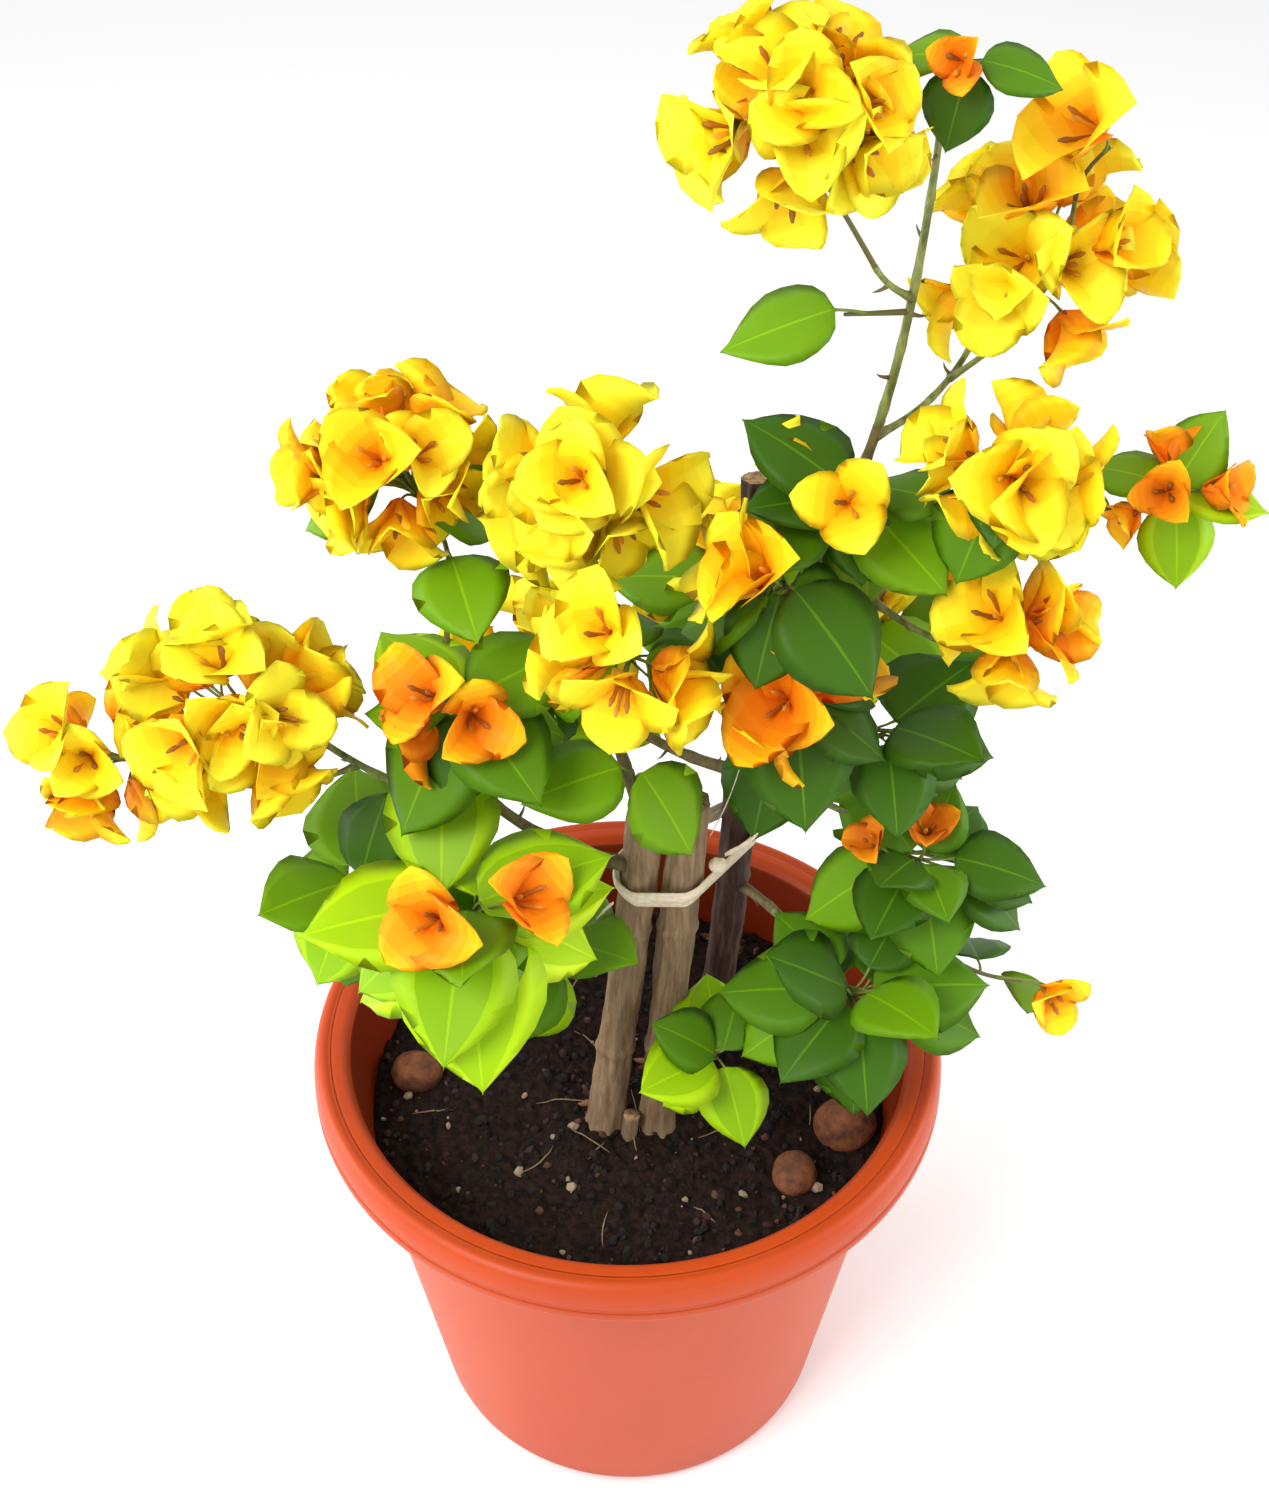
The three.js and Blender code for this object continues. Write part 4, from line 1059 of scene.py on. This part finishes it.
class BOUGAINVILLEA_OT_boughs(bpy.types.Operator):
    """Grows the boughs, with a collar at each root, swollen nodes and thorns"""

    bl_idname = "bougainvillea.boughs"
    bl_label = "Boughs"

    def execute(self, context):
        settings = context.scene.bougainvillea_wood
        limbs = grow_limbs()
        heap = Heap()
        names = [limb.name for limb in LIMBS if limb.name not in CANES]
        for number, name in enumerate(names):
            curve, limb_radii = limbs[name]
            stations = int(curve.length() / BOUGH_STEP)
            points, faces = bark_tube(
                curve, limb_radii, BOUGH_SIDES, stations, settings.node_spacing, number, collar=0.55
            )
            thick = mix(*limb_radii, np.linspace(0, 1, stations - 1))
            young = np.append(np.repeat(thick < YOUNG_WOOD, BOUGH_SIDES), [0, 1])
            heap.add(points, faces, young.astype(int))
            self.add_thorns(heap, curve, limb_radii, settings.node_spacing, number)
        bark = grained_material(
            "twig_bark", linear(0x3B3320), linear(0x857344), 0.7, 240.0, 0.3, 0.0003, (1, 1, 0.4)
        )
        young_bark = grained_material(
            "young_bark", linear(0x4A5220), linear(0x8F9A52), 0.6, 240.0, 0.2, 0.0002, (1, 1, 0.3)
        )
        finish_piece(heap.build("boughs_bark", [bark, young_bark]), names)
        return {"FINISHED"}

    def add_thorns(self, heap, curve, limb_radii, spacing, seed):
        """A slightly hooked spike at every node, turned on by the golden angle."""
        length = curve.length()
        for k, distance in enumerate(np.arange(spacing * 0.6, length - 4, spacing)):
            share = distance / length
            along = curve.tangent(share)
            side, rise = square_to(along)
            out = spoke_at(side, rise, seed + k * GOLDEN)
            foot = curve.at(share)
            reach = mix(*limb_radii, share)
            thorn = Curve(foot, foot + out * (reach + 3), foot + out * (reach + 4.5) + along * 1.8)
            heap.add(*sweep(thorn.at(np.linspace(0, 1, len(THORN_RADII))), THORN_RADII, 6))


# ---- Sprays ----

GREENS = (0x385F08, 0x507C08, 0x689606, 0x80AC04, 0x96C004, 0xAAD204, 0xC8E420)
BRACT_KEYS = (0xE87A0A, 0xF59106, 0xFBBA08, 0xFAD814, 0xF6EC30)
BRACT_SHADES = 10
TUBE_SHADES = (0xA8661C, 0x8A5A1E, 0xC98A22)
TUBE_RADII = np.array([0.6, 0.9, 0.95, 0.75, 0.7, 1.0, 0.45])
STALK_RADII = np.linspace(0.6, 0.42, 7) + np.array([0.25, 0, 0, 0, 0, 0, 0.2])
GOLD_STEP, TIP_STEP = 1.4, 0.95  # shades paler for each step of gold, and each station to the tip
OLDER_AND_SHADED = 1  # how many greens deeper the leaves are that fill a spray behind the first ones: partly their greater age, partly painted shade under the outer leaves
YOUNG_GREEN = 3  # from this green on, a leaf's margin is paler than the rest of it
LEAF_STATIONS = np.array([0.0, 0.04, 0.12, 0.24, 0.38, 0.53, 0.68, 0.81, 0.92, 1.0])
BRACT_STATIONS = np.array([0.0, 0.08, 0.2, 0.34, 0.5, 0.66, 0.8, 0.91, 1.0])
# Across a blade: its upper face from edge to edge with a narrow rib, then its underside.
ACROSS = np.array([-1, -0.6, -0.03, 0.03, 0.6, 1, 0.55, 0, -0.55])
UPPER = np.array([0, 0.5, 0.5, 0.5, 0.5, 0, -0.5, -0.5, -0.5])


def drawn_for_each(random, count):
    """A function that draws one number between two bounds for each of so many copies."""
    return lambda low, high: random.uniform(low, high, (count, 1, 1))


def raised_between_veins(stations):
    """How high a blade is raised between its side veins, at every other station: 0 at the rib and
    at the edges, and 1 half way."""
    s = np.abs(ACROSS)
    return (np.arange(len(stations)) % 2)[None, :, None] * (1 - np.abs(2 * s - 1))


def leaf_points(leaves, thickness, random):
    """Leaves as copies x corners x 3. Half the width at a share u of the length is
    (1 - (1 - u)^3.4)^0.5 (1 - u^2.7); the edges rise from the rib, the tip bends down, the edge
    waves, and every other station is raised a little between the side veins."""
    base, direction, normal, length = (np.array(part, float) for part in zip(*leaves))
    count = len(base)
    side = unit(np.cross(direction, normal))
    u, s = LEAF_STATIONS[None, :, None], ACROSS[None, None, :]
    width = (1 - (1 - u) ** 3.4) ** 0.5 * (1 - u**2.7) + 0.012
    each = drawn_for_each(random, count)
    cup, bend = each(-0.3, 0.9) * LEAF_CUP * 2, each(0.5, 1.7) * LEAF_BEND
    wave = each(0.008, 0.03) * np.sin(each(9, 14) * u + each(0, 2 * pi) + np.sign(s)) * s**2
    veins = 0.012 * raised_between_veins(LEAF_STATIONS)
    twist = each(-0.3, 0.3) * u
    across = s * width * LEAF_WIDTH * 0.7
    lift = cup * np.abs(across) * (1 - 0.5 * np.abs(s)) * 1.3 + bend * u**2 + wave + veins + twist * across
    lift = lift + UPPER * (thickness / length)[:, None, None] - 0.004 * (np.abs(s) < 0.1) * (UPPER > 0)
    forward = u * (1 - 0.04 * np.abs(s)) + each(-0.06, 0.06) * across
    place = np.stack(np.broadcast_arrays(forward, across, lift), axis=-1).reshape(count, -1, 3)
    frames = np.stack([direction, side, normal], axis=1)
    return base[:, None] + length[:, None, None] * (place @ frames)


def bract_points(blooms, thickness, random):
    """Bracts as copies x corners x 3, three to a bloom. The rib leaves the bloom's axis at an angle
    that grows evenly along it, so it is an arc: out = (cos a - cos b) / (b0 - a0) and
    up = (sin b - sin a) / (b0 - a0) with b the angle so far. Half the width at a share u is
    (1 - (1 - u)^2.6)^0.55 (1 - u^3.4)^0.8; the blade is folded at the rib, its edges curl and
    ripple."""
    base, axis, spin, size = (np.repeat(np.array(part, float), 3, axis=0) for part in zip(*blooms))
    count = len(base)
    reference = np.where(np.abs(axis[:, 2:]) < 0.9, [[0, 0, 1]], [[1, 0, 0]])
    side = unit(np.cross(axis, reference))
    rise = np.cross(axis, side)
    turn = spin + np.tile(np.arange(3) * 2 * pi / 3, count // 3) + random.uniform(-0.12, 0.12, count)
    spoke = side * np.cos(turn)[:, None] + rise * np.sin(turn)[:, None]
    beside = np.cross(axis, spoke)
    each = drawn_for_each(random, count)
    per_bloom = np.repeat(random.uniform(-0.16, 0.16, count // 3), 3)[:, None, None]
    u, s = BRACT_STATIONS[None, :, None], ACROSS[None, None, :]
    first, opened = 0.34 + each(-0.08, 0.08), 0.98 + 1.6 * per_bloom + each(-0.14, 0.14)
    angle = first + opened * u
    out = (np.cos(first) - np.cos(angle)) / opened
    up = (np.sin(angle) - np.sin(first)) / opened
    half = ((1 - (1 - u) ** 2.6) ** 0.55 * (1 - u**3.4) ** 0.8 + 0.03) * each(0.46, 0.56)
    curl = each(-0.1, 0.8) * s**2 * half
    fold = each(0.02, 0.25) * np.abs(s) * half
    crumple = each(0.02, 0.055) * np.sin(each(6, 11) * u + 2.4 * np.sign(s) + each(0, 2 * pi))
    crumple = crumple * np.abs(s) ** 1.5
    veins = 0.014 * raised_between_veins(BRACT_STATIONS)
    lift = curl + fold + crumple + veins + UPPER * (thickness / size)[:, None, None]
    forward = out + lift * -np.cos(angle)
    height = up + lift * np.sin(angle)
    width = s * half
    place = np.stack(np.broadcast_arrays(forward, width, height), axis=-1).reshape(count, -1, 3)
    frames = np.stack([spoke, beside, axis], axis=1)
    return base[:, None] + size[:, None, None] * (place @ frames)


def bract_colours():
    """The bracts' shades, spread evenly over the key colours."""
    keys = np.array([linear(code) for code in BRACT_KEYS])
    place = np.linspace(0, len(keys) - 1, BRACT_SHADES)
    return [tuple(np.interp(p, np.arange(len(keys)), keys[:, k]) for k in range(3)) for p in place]


class BOUGAINVILLEA_OT_sprays(bpy.types.Operator):
    """Grows the sprays: stems and finer twigs, leaves, bracts and the small tubes inside them"""

    bl_idname = "bougainvillea.sprays"
    bl_label = "Sprays"

    def execute(self, context):
        settings = context.scene.bougainvillea_sprays
        sprays = grow_plant(settings.fill)
        nodes = [f"spray_{spray.row.name}" for spray in sprays]
        self.make_twigs(sprays, nodes)
        self.make_leaves(sprays, nodes, settings)
        self.make_blooms(sprays, nodes, settings)
        return {"FINISHED"}

    def make_twigs(self, sprays, nodes):
        """Each stem, and a bent stalk to each bloom and leaf: a quadratic curve that leaves the stem
        along it and ends along the leaf or the bloom's axis."""
        heap = Heap()
        for spray in sprays:
            share = np.linspace(0, 1, max(int(spray.stem.length() / 2.5), 6))
            heap.add(*sweep(spray.stem.at(share), mix(spray.radii[0], 0.7 * spray.radii[1], share), 8), 0)
            for foot, base, end, along in spray.stalks:
                span = np.linalg.norm(base - foot)
                control = mix(foot + along * span * 0.35, base - end * span * 0.35, 0.5)
                stalk = Curve(foot, control, base + end * 0.4)
                heap.add(*sweep(stalk.at(np.linspace(0, 1, len(STALK_RADII))), STALK_RADII, 6), 1)
        materials = [
            plain_material("stem_green_brown", linear(0x5E5A2C), 0.7),
            plain_material("stalk_green", linear(0x6E7F2E), 0.65),
        ]
        finish_piece(heap.build("twigs", materials), nodes)

    def make_leaves(self, sprays, nodes, settings):
        """The leaves, each with one of the greens, a lighter rib and a paler underside."""
        random = np.random.default_rng(5)
        leaves = [leaf for spray in sprays for leaf in spray.leaves]
        # leaves that fill a spray behind the outer ones are a green deeper: partly their age, partly painted
        # shade
        green = [
            spray.row.green - OLDER_AND_SHADED * (k >= spray.outer) for spray in sprays for k in range(len(spray.leaves))
        ]
        green = np.clip(np.array(green) + random.choice([-1, 0, 0, 1], len(green)), 0, len(GREENS) - 2)
        faces = tube_faces(len(LEAF_STATIONS), len(ACROSS))
        strips = np.append(np.tile([0, 0, 1, 0, 0, 1, 1, 1, 1], len(LEAF_STATIONS) - 1), [0, 0])
        margins = np.append(np.tile([1, 0, 0, 0, 1, 0, 0, 0, 0], len(LEAF_STATIONS) - 1), [0, 0])
        slots = green[:, None] + strips + margins * (green[:, None] >= YOUNG_GREEN)
        heap = Heap()
        heap.add_copies(leaf_points(leaves, settings.leaf_thickness, random), faces, slots)
        materials = shade_materials("leaf_green", GREENS, 0.5, Specular_IOR_Level=0.18)
        finish_piece(heap.build("leaves", materials), nodes)

    def make_blooms(self, sprays, nodes, settings):
        """The bracts, from orange at the throat to yellow at the tip, and three tubes in each."""
        random = np.random.default_rng(6)
        blooms = [bloom for spray in sprays for bloom in spray.blooms]
        gold = np.array([spray.row.gold for spray in sprays for _ in spray.blooms])
        count = len(blooms)
        faces = tube_faces(len(BRACT_STATIONS), len(ACROSS))
        paler = np.repeat(gold * GOLD_STEP + random.uniform(-1.6, 1.8, count), 3)[:, None]
        along = np.repeat(np.arange(len(BRACT_STATIONS) - 1), len(ACROSS))
        shade = paler + along * TIP_STEP + random.uniform(-0.5, 0.5, (3 * count, 1))
        slots = np.clip(np.round(shade), 0, BRACT_SHADES - 1).astype(int)
        slots = np.concatenate([slots, slots[:, :1], slots[:, -1:]], axis=1)
        heap = Heap()
        heap.add_copies(bract_points(blooms, settings.bract_thickness, random), faces, slots)
        materials = [
            plain_material(f"bract_{k}", colour, 0.6, Specular_IOR_Level=0.2)
            for k, colour in enumerate(bract_colours())
        ]
        finish_piece(heap.build("bracts", materials), nodes)
        self.make_tubes(blooms, nodes, random)

    def make_tubes(self, blooms, nodes, random):
        """The tubes: slim, waisted and blunt, three round each bloom's axis."""
        heap = Heap()
        for base, axis, spin, size in blooms:
            side, rise = square_to(axis)
            for k in range(3):
                spoke = spoke_at(side, rise, spin + k * 2 * pi / 3 + random.uniform(-0.3, 0.3))
                aim = unit(axis + spoke * random.uniform(0.1, 0.4))
                length = size * random.uniform(0.45, 0.62)
                path = base + aim * np.linspace(0.04, 1, 7)[:, None] * length + spoke * 0.8
                heap.add(*sweep(path, TUBE_RADII, 6), int(random.integers(0, len(TUBE_SHADES))))
        tubes = heap.build("flower_tubes", shade_materials("tube", TUBE_SHADES, 0.6))
        finish_piece(tubes, nodes)


# ---- Stage ----

# Each lamp's place and the point it shines at, in metres, its width and its power in watts.
LAMPS = {
    "key": ((-0.9, -1.0, 1.6), (0, 0, 0.3), 0.9, 26),
    "side_left": ((-1.2, 0.1, 0.5), (0, 0, 0.2), 0.7, 9),
    "side_right": ((1.2, 0.0, 0.6), (0, 0, 0.2), 0.7, 9),
}
DAYLIGHT = 0.85
FLOOR_HALF = 4000.0


class BOUGAINVILLEA_OT_stage(bpy.types.Operator):
    """Lays a pale floor, hangs soft lights and sets up the camera"""

    bl_idname = "bougainvillea.stage"
    bl_label = "Stage"

    def execute(self, context):
        settings = context.scene.bougainvillea_stage
        scene = context.scene
        self.floor()
        for name, lamp in LAMPS.items():
            self.light(name, *lamp)
        world = bpy.data.worlds.new("daylight")
        world.use_nodes = True
        sky = world.node_tree.nodes["Background"]
        sky.inputs["Color"].default_value = (1, 1, 1, 1)
        sky.inputs["Strength"].default_value = DAYLIGHT
        scene.world = world
        scene.view_settings.view_transform = "Standard"
        camera = bpy.data.objects.new("camera", bpy.data.cameras.new("camera"))
        camera.data.sensor_width = 36
        camera.data.lens = settings.lens
        camera.location = settings.eye
        camera.rotation_euler = (pi / 2 - settings.pitch, 0, 0)
        scene.collection.objects.link(camera)
        scene.camera = camera
        return {"FINISHED"}

    def floor(self):
        corners = FLOOR_HALF * np.array([(-1, -1, 0), (1, -1, 0), (1, 1, 0), (-1, 1, 0)])
        paper = plain_material("white_paper", (0.93, 0.93, 0.93), 0.9, Specular_IOR_Level=0.1)
        make_object("floor", corners, [[0, 1, 2, 3]], [paper], smooth=False)

    def light(self, name, place, target, size, power):
        lamp = bpy.data.lights.new(name, "AREA")
        lamp.size, lamp.energy = size, power
        holder = bpy.data.objects.new(name, lamp)
        aim = np.array(target) - np.array(place)
        holder.location = place
        holder.rotation_euler = (
            float(np.arctan2(np.hypot(aim[0], aim[1]), -aim[2])), 0, float(np.arctan2(-aim[0], aim[1]))
        )
        bpy.context.scene.collection.objects.link(holder)


# ---- Panel and registration ----


class BOUGAINVILLEA_PT_panel(bpy.types.Panel):
    """Lists the parts of the plant and their settings"""

    bl_idname = "BOUGAINVILLEA_PT_panel"
    bl_label = "Bougainvillea"
    bl_space_type = "VIEW_3D"
    bl_region_type = "UI"
    bl_category = "Bougainvillea"

    def draw(self, context):
        scene = context.scene
        for operators, group in (
            ((BOUGAINVILLEA_OT_pot, BOUGAINVILLEA_OT_soil), scene.bougainvillea_pot),
            ((BOUGAINVILLEA_OT_canes, BOUGAINVILLEA_OT_boughs), scene.bougainvillea_wood),
            ((BOUGAINVILLEA_OT_sprays,), scene.bougainvillea_sprays),
            ((BOUGAINVILLEA_OT_stage,), scene.bougainvillea_stage),
        ):
            box = self.layout.box()
            for operator in operators:
                box.operator(operator.bl_idname)
            for name in group.__annotations__:
                box.prop(group, name)


SETTINGS = {
    "bougainvillea_pot": PotSettings,
    "bougainvillea_wood": WoodSettings,
    "bougainvillea_sprays": SpraySettings,
    "bougainvillea_stage": StageSettings,
}
OPERATORS = (
    BOUGAINVILLEA_OT_pot,
    BOUGAINVILLEA_OT_soil,
    BOUGAINVILLEA_OT_canes,
    BOUGAINVILLEA_OT_boughs,
    BOUGAINVILLEA_OT_sprays,
    BOUGAINVILLEA_OT_stage,
)


def register():
    for settings in SETTINGS.values():
        bpy.utils.register_class(settings)
    for operator in (*OPERATORS, BOUGAINVILLEA_PT_panel):
        bpy.utils.register_class(operator)
    for name, settings in SETTINGS.items():
        setattr(bpy.types.Scene, name, PointerProperty(type=settings))


def unregister():
    for name in SETTINGS:
        delattr(bpy.types.Scene, name)
    for operator in (BOUGAINVILLEA_PT_panel, *reversed(OPERATORS)):
        bpy.utils.unregister_class(operator)
    for settings in SETTINGS.values():
        bpy.utils.unregister_class(settings)


def main():
    """Builds every part in order."""
    register()
    bpy.ops.bougainvillea.pot()
    bpy.ops.bougainvillea.soil()
    bpy.ops.bougainvillea.canes()
    bpy.ops.bougainvillea.boughs()
    bpy.ops.bougainvillea.sprays()
    bpy.ops.bougainvillea.stage()


if __name__ == "__main__":
    main()
